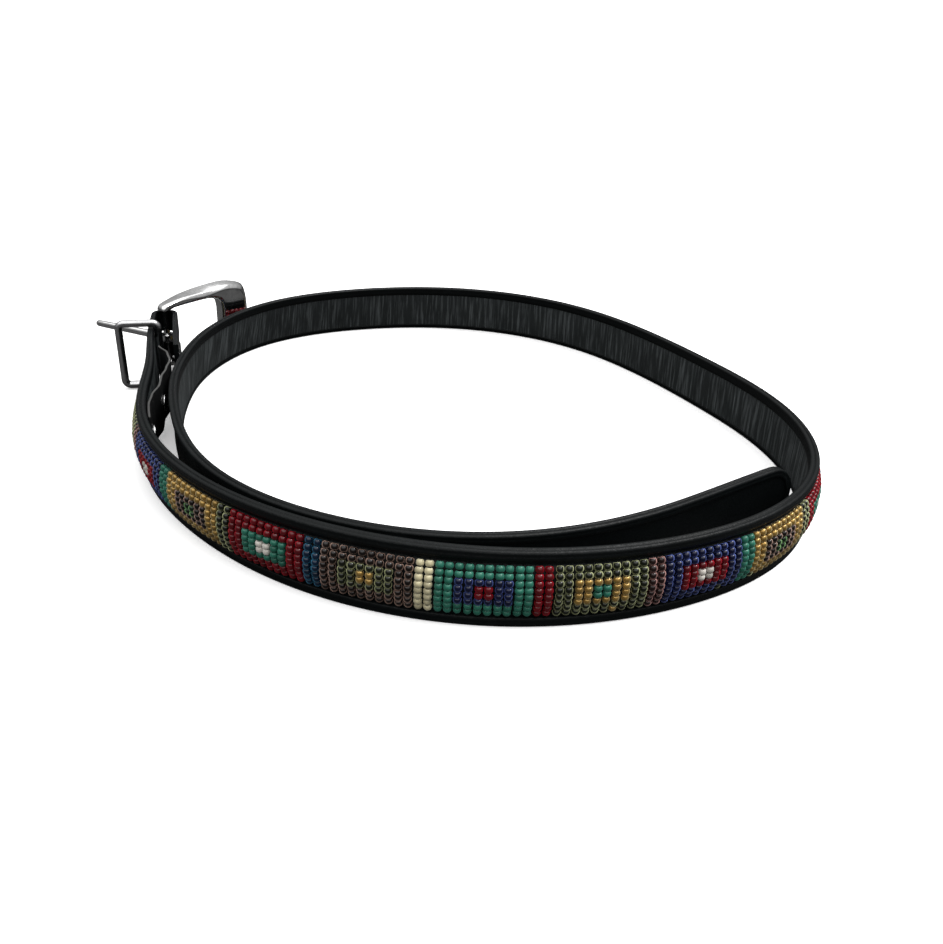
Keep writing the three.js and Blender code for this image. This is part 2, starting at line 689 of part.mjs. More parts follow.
function makeBuckleFrame() {
  const { outer, inner } = frameOutlines();
  const steps = FRAME_SECTIONS.length * 2 * 3;
  const rings = [];
  for (let i = 0; i < steps; i++) {
    const o = outer.getPoint(i / steps);
    const n = inner.getPoint(i / steps);
    const bar = THREE.MathUtils.clamp(o.z, 0, 1);
    rings.push(frameRing(new THREE.Vector2(o.x, o.y), new THREE.Vector2(n.x, n.y), bar));
  }
  return namedMesh("buckle_frame", loft(rings, true), 0xc4c7ca, 0.12, 1);
}

// Tongue: a tapered rod with an eye round the heel bar.
function makeTongue() {
  const eyeInner = HEEL_BAR / 2 + CLEARANCE;
  const eyeOuter = eyeInner + TONGUE_EYE_WALL;
  const half = TONGUE_WIDTH / 2;
  const eyeProfile = [
    [eyeInner, -half],
    [eyeOuter, -half],
    [eyeOuter, half],
    [eyeInner, half],
    [eyeInner, -half],
  ].map(([x, y]) => new THREE.Vector2(x, y));
  const eye = new THREE.LatheGeometry(eyeProfile, 20);
  const way = turned(LINE_OF_STRAP, TONGUE_SWING);
  const side = new THREE.Vector3().crossVectors(UP, way);
  const middle = heelPoint().setZ(TONGUE_HEIGHT);
  placed(eye, middle, way, UP, side.clone().negate());
  const rod = [];
  const sections = [
    { share: 0, size: 0.9 },
    { share: 0.25, size: 1.0 },
    { share: 0.7, size: 0.94 },
    { share: 0.95, size: 0.88 },
    { share: 0.985, size: 0.7 },
    { share: 1, size: 0.35 },
  ];
  const from = eyeInner + TONGUE_EYE_WALL * 0.4;
  for (const { share, size } of sections) {
    const centre = middle.clone().addScaledVector(way, THREE.MathUtils.lerp(from, TONGUE_LENGTH, share));
    const ring = [];
    for (let k = 0; k < 12; k++) {
      const angle = (k / 12) * 2 * Math.PI;
      ring.push(
        centre
          .clone()
          .addScaledVector(side, half * 0.9 * size * Math.cos(angle))
          .addScaledVector(UP, half * size * Math.sin(angle)),
      );
    }
    rod.push(ring);
  }
  const solid = solidOf(eye).add(solidOf(loft(rod)));
  return namedMesh("tongue", geometryOf(solid), 0xc4c7ca, 0.15, 1);
}

// Keeper: a closed rectangle of round wire, whose inner upright side lies in the fold against the strap.
function makeKeeper() {
  const station = stationAt(KEEPER_AT);
  const wire = KEEPER_WIRE / 2;
  const inner = -(thicknessAt(KEEPER_AT) / 2 + CLEARANCE + wire);
  const outer = inner + KEEPER_DEPTH;
  const low = KEEPER_CLEAR_OF_FLOOR + wire;
  const high = station.lift + STRAP_WIDTH + 2 * CLEARANCE + wire;
  const corners = [
    { x: outer - KEEPER_CORNER, z: low + KEEPER_CORNER, from: -90 },
    { x: outer - KEEPER_CORNER, z: high - KEEPER_CORNER, from: 0 },
    { x: inner + KEEPER_CORNER, z: high - KEEPER_CORNER, from: 90 },
    { x: inner + KEEPER_CORNER, z: low + KEEPER_CORNER, from: 180 },
  ];
  const rings = [];
  for (const corner of corners) {
    for (let i = 0; i <= 4; i++) {
      const bend = directionOf(corner.from + 22.5 * i);
      const ring = [];
      for (let k = 0; k < 12; k++) {
        const angle = (k / 12) * 2 * Math.PI;
        const reach = KEEPER_CORNER + wire * Math.cos(angle);
        ring.push(
          station.point
            .clone()
            .addScaledVector(station.outward, corner.x + bend.x * reach)
            .addScaledVector(station.way, wire * Math.sin(angle))
            .setZ(corner.z + bend.y * reach),
        );
      }
      rings.push(ring);
    }
  }
  return namedMesh("keeper_loop", loft(rings, true), 0xc9ccd0, 0.15, 1);
}

const belt = new THREE.Group();
belt.add(makeStrap());
belt.add(makeLining());
belt.add(makeBeadPanel());
belt.add(makeSnapLeaf());
SNAPS_AT.forEach((along, i) => belt.add(makeSnapCap(i + 1, along)));
belt.add(makeBuckleFrame());
belt.add(makeTongue());
belt.add(makeKeeper());

// The origin goes to the middle of the footprint.
const extent = new THREE.Box3().setFromObject(belt);
const footprint = extent.getCenter(new THREE.Vector3());
belt.position.set(-footprint.x, -footprint.y, -extent.min.z);

export default belt;
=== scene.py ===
import math

import bpy
import numpy as np
from mathutils import Matrix


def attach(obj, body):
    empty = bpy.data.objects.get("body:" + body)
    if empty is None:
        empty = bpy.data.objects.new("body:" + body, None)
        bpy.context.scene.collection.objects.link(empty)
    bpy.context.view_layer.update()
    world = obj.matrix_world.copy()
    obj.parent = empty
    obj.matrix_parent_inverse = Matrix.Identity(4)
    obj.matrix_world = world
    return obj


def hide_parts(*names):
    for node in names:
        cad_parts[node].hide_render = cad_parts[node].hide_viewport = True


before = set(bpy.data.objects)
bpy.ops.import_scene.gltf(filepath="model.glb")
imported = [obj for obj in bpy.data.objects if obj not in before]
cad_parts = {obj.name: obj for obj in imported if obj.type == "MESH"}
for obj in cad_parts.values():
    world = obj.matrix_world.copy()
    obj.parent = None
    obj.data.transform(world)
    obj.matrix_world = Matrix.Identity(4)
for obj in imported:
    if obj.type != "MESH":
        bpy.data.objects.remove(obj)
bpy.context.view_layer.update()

# Strap
STRAP_LENGTH = 1250.0
STRAP_WIDTH = 25.0
STRAP_THICKNESS = 3.6
TIP_LENGTH = 12.5
UPPER_RIM = 2.9
LOWER_RIM = 3.2
CHANNEL_DEPTH = 1.2
PLAIN_GROOVE = 0.4
UPPER_LINING_RIM = 4.2
LOWER_LINING_RIM = 2.4
LINING_RECESS = 1.2
LINING_STANDS_IN = 0.1
RECESS_BEGINS = (18.2, 19.2)  # the lining's recess deepens between these distances from the fold
RECESS_FADES = (1.2, 2.2)  # and ends between these distances past the lining
CHANNEL_FADES = (1.4, 2.4)  # the bead channel deepens and ends between these distances past the beading
RIM_CREASE = 0.16  # depth of the crease beside the rolled edge
EDGE_SHARE = 0.24  # each rolled edge takes up at most this share of the strap's height
ROLL_SHARE = 0.535  # each edge is two rolls, this share of half the thickness in radius, with a seam between
CLEARANCE = 0.3

# Buckle end
FOLD_SPACING = 9.8
LEAF_THICKNESS = 2.2
LEAF_WIDTH = 23.2
RETURN_LENGTH = 42.0
RETURN_SPREAD = 1.4
FULL_WIDTH_AT = 14.0
FULL_THICKNESS_AT = 82.0
END_LIFT = 5.2
LIFT_RUN = 200.0
SNAP_LEAF_THICKNESS = 1.0
SNAP_LEAF_WIDTH = 20.0
SNAP_DIAMETER = 7.0
SNAP_HEIGHT = 1.7
SNAPS_AT = (77.0, 106.0)

# Beadwork
BEADING_START = 83.0
COLUMN_PITCH = 2.92
COLUMN_COUNT = 274
FIRST_COLUMN = -36  # columns are counted from the first one of block C
BEADING_BOTTOM = 4.3
BEADING_TOP = 20.5
BEADING_EDGE = 0.6
BEADING_CROWN = 2.6
BEADS_PER_COLUMN = 8
BEAD_WIDTH = 2.66
BEAD_LENGTH = 2.02
BEAD_WALL = 0.44  # half the thickness of a bead's wall, as a share of its radius
STRAY_BEADS = 0.006  # share of the beads that were strung in a wrong colour
COLUMN_SHIFT = (0.9, -0.8)  # how far the columns stand from even places, at both ends of SHIFT_BETWEEN
SHIFT_BETWEEN = (20.0, 130.0)  # distances from the beading's start

# Buckle, tongue and keeper
HEEL_BAR = 3.2
FRAME_LENGTH = 50.0
FRAME_HEIGHT = 37.8
FRAME_DEPTH = 6.4
FRONT_BOW = 100.0
BACK_BOW = 300.0
FULLEST_AT = 0.42
FRAME_BEVEL = 2.6
WINDOW_LENGTH = 33.0
WINDOW_HEIGHT = 25.6
FRAME_CLEAR_OF_FLOOR = 0.35
FRAME_SWING = -49.5
TONGUE_LENGTH = 44.0
TONGUE_WIDTH = 3.8
TONGUE_SWING = 54.0
TONGUE_DROP = 1.3
TONGUE_EYE_WALL = 1.4
SLOT_HEIGHT = 5.6
SLOT_REACH = 8.5
KEEPER_AT = 22.5
KEEPER_WIRE = 3.4
KEEPER_DEPTH = 17.0
KEEPER_CORNER = 2.6
KEEPER_CLEAR_OF_FLOOR = 0.25

# Buckle holes
HOLE_COUNT = 6
HOLE_DIAMETER = 4.0
HOLE_PITCH = 25.4
FIRST_HOLE_FROM_TIP = 105.0

# Camera: where it stands from the part's origin, and how the photo was framed
CAMERA_PLACE = (28.43, -346.52, 156.4)
CAMERA_PITCH = 27.22  # degrees below level
CAMERA_ROLL = 3.26
PHOTO_WIDTH = 943.0  # pixels
PHOTO_FOCAL = 850.0  # pixels
SENSOR_WIDTH = 36.0
SHIFT = (0.00303, -0.00122)

# The middle of the loop's plan, from the part's origin
LOOP_CENTRE = (15.73, 0.18)

# The plan of the loop, one row for each 24 degrees: share of the loop's radius, and lean in degrees
TURN_STEP = 24.0
START_AT = 161.7
TIP_AT = 691.9
TAIL_FROM = 525.0
TAIL_BLEND = 22.0
LOOP_FROM = 136.0
LOOP = np.array([
    (1.524, 24.3), (1.077, -5.3), (0.886, -4.4), (0.912, 0.7), (0.922, 5.2),
    (0.985, -3.3), (1.052, -7.4), (1.098, -1.3), (1.157, 0.0), (1.069, -2.2),
    (0.925, -3.6), (0.924, -3.2), (1.009, -4.7), (1.041, -7.3), (1.025, -10.4),
    (1.032, -14.1), (0.926, -10.7), (0.824, -2.8), (0.804, 3.9), (0.776, 12.1),
])

# The free end: how many strap thicknesses inside the first turn it lies, and its lean
TAIL_ROWS_FROM = 496.0
TAIL = np.array([
    (16.84, -14.9), (6.35, -10.4), (2.1, -3.0), (4.45, 4.3), (2.13, 8.3),
    (2.36, 6.9), (3.46, 4.5), (5.5, 1.8), (6.2, -1.2), (-10.0, -5.4),
])

# The leaf with the snaps: place along the strap, and distance inwards in strap thicknesses
SNAP_LEAF = (
    (38, 0.4), (47, 1.32), (55, 1.56), (64, 1.2), (73, 0.8), (81, 0.8), (92, 0.2), (100, 0.0), (113, 0.0),
)

# The buckle frame's upper half: outer and inner edge as shares of the frame and of its window, and bar share
FRAME_SECTIONS = (
    (-0.032, 0.3, 0.048, 0.4, 1),
    (-0.032, 0.62, 0.048, 0.9, 1),
    (-0.06, 0.69, 0.07, 0.98, 0),
    (-0.02, 0.81, 0.16, 1.0, 0),
    (0.22, 0.91, 0.42, 1.0, 0),
    (0.52, 0.97, 0.76, 0.97, 0),
    (0.76, 0.98, 0.96, 0.8, 0),
    (0.95, 0.82, 1.0, 0.5, 0),
    (1.0, 0.42, 1.0, 0.2, 0),
)

# Bead colours of each block: outer, middle and core. The spacers between the blocks are pairs of one colour.
BLOCKS = {
    "A": ("blue", "red", "white"),
    "B": ("gold", "rose", "green"),
    "C": ("red", "teal", "white"),
    "D": ("rose", "olive", "gold"),
    "E": ("teal", "blue", "red"),
    "F": ("olive", "gold", "teal"),
}
BLOCK_ORDER = ("C", "D", "E", "F", "A", "B")
SPACERS = ("peacock", "cream", "red", "pink", "teal", "olive")
BLOCK_COLUMNS = 10
SPACER_COLUMNS = 2

HALF = STRAP_THICKNESS / 2
MIDDLE = STRAP_WIDTH / 2
UP = np.array([0.0, 0.0, 1.0])
random = np.random.RandomState(7)


# Small tools

def smooth(x, low, high):
    t = np.clip((np.asarray(x, float) - low) / (high - low), 0.0, 1.0)
    return t * t * (3 - 2 * t)


def mix(a, b, share):
    return a + (b - a) * share


def unit(v):
    return v / np.linalg.norm(v, axis=-1, keepdims=True)


def turned(direction, degrees):
    c, s = math.cos(math.radians(degrees)), math.sin(math.radians(degrees))
    x, y, z = direction
    return np.array([c * x - s * y, s * x + c * y, z])


def read_turn(rows, first, column, at):
    """The smooth curve drawn towards a column of evenly spaced rows."""
    place = (np.asarray(at, float) - first) / TURN_STEP
    row = np.clip(np.floor(place), 1, len(rows) - 3).astype(int)
    t = place - row
    weights = ((1 - t) ** 3, 3 * t**3 - 6 * t**2 + 4, -3 * t**3 + 3 * t**2 + 3 * t + 1, t**3)
    return sum(w / 6 * rows[row - 1 + k, column] for k, w in enumerate(weights))


# The strap's course

def tail_share(at):
    return smooth(at, TAIL_FROM, TAIL_FROM + TAIL_BLEND)


def reach_at(at, radius):
    first = radius * read_turn(LOOP, LOOP_FROM, 0, np.minimum(at, TAIL_FROM + TAIL_BLEND))
    outside = radius * read_turn(LOOP, LOOP_FROM, 0, at - 360)
    tail = outside - STRAP_THICKNESS * read_turn(TAIL, TAIL_ROWS_FROM, 0, at)
    return np.where(at <= TAIL_FROM, first, mix(first, tail, tail_share(at)))


def lean_at(at):
    first = read_turn(LOOP, LOOP_FROM, 1, np.minimum(at, TAIL_FROM + TAIL_BLEND))
    tail = read_turn(TAIL, TAIL_ROWS_FROM, 1, at)
    return np.where(at <= TAIL_FROM, first, mix(first, tail, tail_share(at)))


def plan_point(at, radius):
    at = np.asarray(at, float)
    angle = np.radians(at)
    reach = reach_at(at, radius)
    return np.stack([np.cos(angle) * reach, np.sin(angle) * reach, np.zeros_like(reach)], -1)


MARKS = np.linspace(START_AT, TIP_AT, round(TIP_AT - START_AT) + 1)


def measure_course(radius):
    steps = np.linalg.norm(np.diff(plan_point(MARKS, radius), axis=0), axis=1)
    return np.concatenate([[0], np.cumsum(steps)])


def find_radius():
    low, high = STRAP_LENGTH / 30, STRAP_LENGTH / 3
    for _ in range(40):
        middle = (low + high) / 2
        if measure_course(middle)[-1] < STRAP_LENGTH:
            low = middle
        else:
            high = middle
    return (low + high) / 2


RADIUS = find_radius()
COURSE = measure_course(RADIUS)


class Stations:
    """Places along the strap: the point below its middle, its way, its outer side, its lift and its lean."""

    def __init__(self, along):
        self.along = np.atleast_1d(np.asarray(along, float))
        at = np.interp(self.along, COURSE, MARKS)
        self.point = plan_point(at, RADIUS) + np.array([*LOOP_CENTRE, 0.0])
        self.way = unit(plan_point(at + 0.5, RADIUS) - plan_point(at - 0.5, RADIUS))
        self.outward = np.cross(self.way, UP)
        self.lift = END_LIFT * np.maximum(0, 1 - self.along / LIFT_RUN) ** 2
        free = smooth(self.along, KEEPER_AT + KEEPER_WIRE, 80)
        self.lean = free * np.tan(np.radians(lean_at(at)))

    def rings(self, x, y):
        """Points at x outwards from the middle and y up the strap, one row for each station."""
        x, y = np.broadcast_arrays(np.asarray(x, float), np.asarray(y, float))
        if x.ndim == 1:
            x = np.tile(x, (len(self.along), 1))
            y = np.tile(y, (len(self.along), 1))
        out = self.point[:, None] + self.outward[:, None] * (x + y * self.lean[:, None])[..., None]
        out[..., 2] += y + self.lift[:, None]
        return out


def thickness_at(along):
    return mix(LEAF_THICKNESS, STRAP_THICKNESS, smooth(along, 2, FULL_THICKNESS_AT))


# Meshes

def make_object(name, verts, faces, body, material, uv=None, sharp=None, attribute=None):
    mesh = bpy.data.meshes.new(name)
    mesh.from_pydata((np.asarray(verts) / 1000).tolist(), [], faces)
    mesh.materials.append(material)
    mesh.shade_smooth()
    if uv is not None:
        layer = mesh.uv_layers.new(name="along_and_up")
        index = np.empty(len(mesh.loops), np.int32)
        mesh.loops.foreach_get("vertex_index", index)
        layer.data.foreach_set("uv", (np.asarray(uv, float)[index] / 1000).ravel())
    if attribute is not None:
        for title, values in attribute.items():
            mesh.attributes.new(title, "FLOAT", "POINT").data.foreach_set("value", np.asarray(values, float))
    if sharp is not None:
        mesh.set_sharp_from_angle(angle=math.radians(sharp))
    mesh.update()
    obj = bpy.data.objects.new(name, mesh)
    bpy.context.scene.collection.objects.link(obj)
    if body:
        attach(obj, body)
    return obj


def loft_faces(rows, count, joined=False, capped=True, start=0):
    """Quads between rows of points that each close on themselves."""
    faces = []
    for i in range(rows if joined else rows - 1):
        here, after = start + i * count, start + ((i + 1) % rows) * count
        for j in range(count):
            k = (j + 1) % count
            faces.append((here + j, here + k, after + k, after + j))
    if capped and not joined:
        faces.append(tuple(start + j for j in reversed(range(count))))
        faces.append(tuple(start + (rows - 1) * count + j for j in range(count)))
    return faces


def facing_out(verts, faces):
    """The faces, turned over if they look inwards."""
    v = np.asarray(verts)
    volume = 0.0
    for face in faces:
        a = v[face[0]]
        for j in range(1, len(face) - 1):
            volume += np.dot(a, np.cross(v[face[j]], v[face[j + 1]]))
    return faces if volume > 0 else [tuple(reversed(face)) for face in faces]


def cut(obj, cutters):
    """Cuts the shapes out of the object's mesh and removes them."""
    for cutter in cutters:
        modifier = obj.modifiers.new("cut", "BOOLEAN")
        modifier.operation = "DIFFERENCE"
        modifier.solver = "EXACT"
        modifier.object = cutter
    shape = obj.evaluated_get(bpy.context.evaluated_depsgraph_get())
    mesh = bpy.data.meshes.new_from_object(shape)
    obj.modifiers.clear()
    obj.data = mesh
    for cutter in cutters:
        bpy.data.objects.remove(cutter)


# Materials

class Look:
    """A principled material whose colour, roughness and bump come from nodes."""

    def __init__(self, name, **constants):
        self.material = bpy.data.materials.new(name)
        self.material.use_nodes = True
        self.tree = self.material.node_tree
        self.shader = self.tree.nodes["Principled BSDF"]
        for socket, value in constants.items():
            self.shader.inputs[socket.replace("_", " ")].default_value = value

    def node(self, kind, settings=(), **inputs):
        node = self.tree.nodes.new(kind)
        for key, value in dict(settings).items():
            setattr(node, key, value)
        for socket, value in inputs.items():
            target = node.inputs[int(socket[1:])] if socket[0] == "i" and socket[1:].isdigit() else \
                node.inputs[socket.replace("_", " ")]
            if isinstance(value, bpy.types.NodeSocket):
                self.tree.links.new(value, target)
            else:
                target.default_value = value
        return node

    def where(self, scale=(1, 1, 1), uv=False):
        place = self.node("ShaderNodeTexCoord")
        source = place.outputs["UV" if uv else "Object"]
        return self.node("ShaderNodeMapping", Vector=source, Scale=scale).outputs[0]

    def noise(self, vector, scale, detail=3.0, roughness=0.55):
        node = self.node("ShaderNodeTexNoise", Vector=vector, Scale=scale, Detail=detail, Roughness=roughness)
        return node.outputs["Fac"]

    def ranged(self, value, low, high, to_low, to_high):
        node = self.node("ShaderNodeMapRange", Value=value)
        for index, number in enumerate((low, high, to_low, to_high), 1):
            node.inputs[index].default_value = number
        return node.outputs[0]

    def blend(self, factor, a, b):
        node = self.node("ShaderNodeMix", {"data_type": "RGBA"})
        for index, value in ((0, factor), (6, a), (7, b)):
            if isinstance(value, bpy.types.NodeSocket):
                self.tree.links.new(value, node.inputs[index])
            else:
                node.inputs[index].default_value = value if index == 0 else (*value, 1.0)
        return node.outputs[2]

    def bump(self, height, strength, distance, normal=None):
        node = self.node("ShaderNodeBump", Height=height, Strength=strength, Distance=distance)
        if normal is not None:
            self.tree.links.new(normal, node.inputs["Normal"])
        return node.outputs[0]

    def join(self, **sockets):
        for socket, value in sockets.items():
            self.tree.links.new(value, self.shader.inputs[socket.replace("_", " ")])
        return self.material


def leather_look():
    look = Look("black_leather", Specular_IOR_Level=0.15)
    place = look.where()
    cloud = look.noise(place, 60, 4)
    grain = look.noise(place, 1500, 4, 0.65)
    creases = look.noise(look.where((60, 900, 1), uv=True), 1, 3)
    wear = look.ranged(look.noise(place, 35, 5, 0.7), 0.6, 0.74, 0, 1)
    colour = look.blend(cloud, (0.0016, 0.0022, 0.0024), (0.0045, 0.006, 0.0064))
    colour = look.blend(look.ranged(wear, 0, 1, 0, 0.4), colour, (0.02, 0.024, 0.024))
    rough = look.ranged(grain, 0.3, 0.7, 0.26, 0.5)
    normal = look.bump(grain, 0.8, 0.0002)
    normal = look.bump(creases, 0.25, 0.0002, normal)
    return look.join(Base_Color=colour, Roughness=rough, Normal=normal)


def edge_highlight_look():
    """Black leather with a painted highlight in grey along the edges that the ends attribute marks."""
    look = Look("edge_highlight_leather", Specular_IOR_Level=0.5)
    place = look.where()
    edge = look.node("ShaderNodeAttribute", {"attribute_name": "ends"}).outputs["Fac"]
    grain = look.noise(place, 1400, 4, 0.65)
    fibres = look.noise(place, 420, 5, 0.7)
    colour = look.blend(look.noise(place, 60, 4), (0.0025, 0.0028, 0.003), (0.008, 0.0085, 0.009))
    # Painted highlight: the marked edges are painted grey.
    colour = look.blend(look.ranged(edge, 0.4, 1, 0, 0.9), colour, (0.06, 0.06, 0.058))
    colour = look.blend(look.ranged(fibres, 0.5, 0.72, 0, 0.7), colour, (0.004, 0.004, 0.004))
    rough = look.ranged(grain, 0.3, 0.7, 0.3, 0.5)
    return look.join(Base_Color=colour, Roughness=rough, Normal=look.bump(grain, 0.5, 0.00014))


def lining_look():
    look = Look("wrinkled_lining", Specular_IOR_Level=0.42)
    place = look.where()
    across = look.noise(look.where((900, 45, 1), uv=True), 1, 4, 0.6)
    folds = look.noise(look.where((420, 25, 1), uv=True), 1, 2)
    colour = look.blend(look.noise(place, 90, 4), (0.008, 0.0105, 0.011), (0.028, 0.034, 0.035))
    # Painted sheen: the wrinkle ridges that the across noise marks are painted lighter.
    colour = look.blend(look.ranged(across, 0.48, 0.68, 0, 0.8), colour, (0.14, 0.155, 0.16))
    normal = look.bump(across, 0.8, 0.0005)
    normal = look.bump(folds, 0.7, 0.0009, normal)
    rough = look.ranged(across, 0.3, 0.7, 0.6, 0.42)
    return look.join(Base_Color=colour, Roughness=rough, Normal=normal)


def metal_look(name, colour, roughness):
    look = Look(name, Metallic=1.0)
    place = look.where()
    smear = look.noise(place, 140, 4, 0.6)
    scratches = look.noise(look.where((300, 2600, 900)), 1, 3, 0.7)
    spots = look.ranged(look.noise(place, 700, 5, 0.7), 0.42, 0.62, 0, 1)
    shade = look.blend(look.ranged(smear, 0.35, 0.7, 0, 1), colour, tuple(c * 0.8 for c in colour))
    shade = look.blend(look.ranged(spots, 0, 1, 0, 0.35), shade, tuple(c * 0.5 for c in colour))
    rough = look.ranged(smear, 0.3, 0.75, roughness * 0.7, roughness * 1.8)
    normal = look.bump(look.noise(place, 260, 3), 0.12, 0.0004)
    return look.join(Base_Color=shade, Roughness=rough, Normal=look.bump(scratches, 0.08, 0.00005, normal))


def bead_look(name, body, rim, roughness, lined):
    """A bead is dark in its middle, with a painted highlight in the rim colour towards its outline and at its
    ends by the hole.

    lined is the share of a metallic lining that shows through the glass, and 0 for opaque beads.
    """
    look = Look("bead_" + name, Coat_Weight=0.22, Coat_Roughness=0.06, IOR=1.42, Metallic=lined)
    ends = look.node("ShaderNodeAttribute", {"attribute_name": "ends"}).outputs["Fac"]
    tone = look.node("ShaderNodeAttribute", {"attribute_name": "tone"}).outputs["Fac"]
    facing = look.node("ShaderNodeLayerWeight", Blend=0.5).outputs["Facing"]
    cloud = look.noise(look.where(), 900, 3)
    # Painted highlight: the rim colour is painted over the ends by the hole and over the outline, where the
    # bead faces away.
    colour = look.blend(look.ranged(ends, 0.6, 1.0, 0, 0.55), body, rim)
    colour = look.blend(look.ranged(facing, 0.3, 0.62, 0, 1), colour, rim)
    dark = tuple(c * 0.4 for c in body)
    colour = look.blend(look.ranged(tone, 0, 1, 0, 0.6), colour, dark)
    rough = look.ranged(cloud, 0.3, 0.7, roughness * 0.7, roughness * 1.4)
    return look.join(Base_Color=colour, Roughness=rough)


def thread_look():
    look = Look("waxed_thread", Sheen_Weight=0.2)
    twist = look.noise(look.where((2500, 2500, 2500)), 1, 2)
    colour = look.blend(twist, (0.012, 0.012, 0.013), (0.05, 0.05, 0.052))
    return look.join(Base_Color=colour, Normal=look.bump(twist, 0.5, 0.0001))


def floor_look():
    """A white studio floor. Pieces mirror it as grey, as the darker room round the photographed belt was."""
    look = Look("pale_floor", Roughness=0.9, Specular_IOR_Level=0.0, Emission_Strength=0.34)
    cloud = look.noise(look.where(), 3, 2)
    seen = look.node("ShaderNodeLightPath").outputs["Is Camera Ray"]
    white = look.blend(cloud, (0.93, 0.93, 0.93), (0.96, 0.96, 0.96))
    glow = look.blend(seen, (0, 0, 0), (1, 1, 1))
    return look.join(Base_Color=look.blend(seen, (0.06, 0.06, 0.06), white), Emission_Color=glow)


LEATHER = leather_look()
EDGE_HIGHLIGHT = edge_highlight_look()
LINING = lining_look()
METAL = metal_look("polished_metal", (0.8, 0.8, 0.8), 0.1)
# A darker, rougher copy of the polished metal, for the keeper.
DARKER_METAL = metal_look("darker_metal", (0.66, 0.66, 0.67), 0.16)
THREAD = thread_look()

# Bead glass: colour of its body and of the painted highlight on its outline and ends, how rough it is, and
# the share of its metallic lining
GLASS = {
    "red": ((0.11, 0.002, 0.005), (0.42, 0.01, 0.022), 0.16, 0.0),
    "gold": ((0.42, 0.26, 0.07), (1.0, 0.8, 0.42), 0.2, 0.6),
    "blue": ((0.002, 0.004, 0.026), (0.13, 0.18, 0.5), 0.14, 0.1),
    "peacock": ((0.002, 0.012, 0.034), (0.07, 0.28, 0.46), 0.14, 0.1),
    "teal": ((0.02, 0.15, 0.1), (0.07, 0.27, 0.2), 0.36, 0.0),
    "cream": ((0.6, 0.54, 0.34), (0.8, 0.75, 0.55), 0.28, 0.0),
    "white": ((0.68, 0.64, 0.58), (0.86, 0.82, 0.77), 0.28, 0.0),
    "green": ((0.004, 0.018, 0.006), (0.36, 0.68, 0.28), 0.14, 0.1),
    "olive": ((0.006, 0.008, 0.003), (0.68, 0.72, 0.4), 0.14, 0.1),
    "rose": ((0.006, 0.003, 0.002), (0.62, 0.42, 0.34), 0.14, 0.1),
    "pink": ((0.014, 0.005, 0.004), (0.75, 0.42, 0.38), 0.14, 0.1),
}


# Strap

def rounded(points, radius, steps=3):
    """The closed outline with each corner rounded by a short curve."""
    points = np.asarray(points, float)
    out = []
    for i, corner in enumerate(points):
        before, after = points[i - 1], points[(i + 1) % len(points)]
        a = corner + (before - corner) * min(0.45, radius / max(1e-6, np.linalg.norm(before - corner)))
        b = corner + (after - corner) * min(0.45, radius / max(1e-6, np.linalg.norm(after - corner)))
        for k in range(steps):
            t = k / (steps - 1)
            out.append((1 - t) ** 2 * a + 2 * t * (1 - t) * corner + t**2 * b)
    return np.array(out)


def strap_outline(half, low, high, channel, recess, crease, grooves):
    """The strap's section at one place: rolled edges, rims, the bead channel and the lining's recess."""
    height = high - low
    roll = min(half, height * EDGE_SHARE) * ROLL_SHARE
    arc = np.radians(np.linspace(-148, 0, 10))
    points = []
    for sign, (groove_low, groove_high), depth in ((1, grooves[0], channel), (-1, grooves[1], recess)):
        lip = min(0.35, max(0.02, depth * 0.5))
        dip = crease if depth > crease else 0.0
        side = [(half - roll + roll * math.cos(a), low + roll + roll * math.sin(a)) for a in arc]
        for bottom, wall in ((True, groove_low), (False, groove_high)):
            turn = 1 if bottom else -1
            edge = low if bottom else high
            rim = abs(wall - edge)
            reach = max(0.0, rim - roll)
            lane = [
                (half - dip, edge + turn * (roll + reach * 0.25)),
                (half - dip * 0.4, edge + turn * (roll + reach * 0.4)),
                (half, edge + turn * (roll + reach * 0.55)),
                (half - lip * 0.1, wall - turn * lip * 0.6),
                (half - lip * 0.45, wall - turn * lip * 0.15),
                (half - depth, wall + turn * 0.12),
            ]
            if not bottom:
                side += [(half - depth, mix(groove_low, groove_high, share)) for share in (0.3, 0.7)]
            side += lane if bottom else lane[::-1]
        side += [(half - roll + roll * math.cos(a), high - roll - roll * math.sin(a)) for a in arc[::-1]]
        side = [(sign * x, y) for x, y in side]
        points += side if sign > 0 else side[::-1]
    return np.array(points)


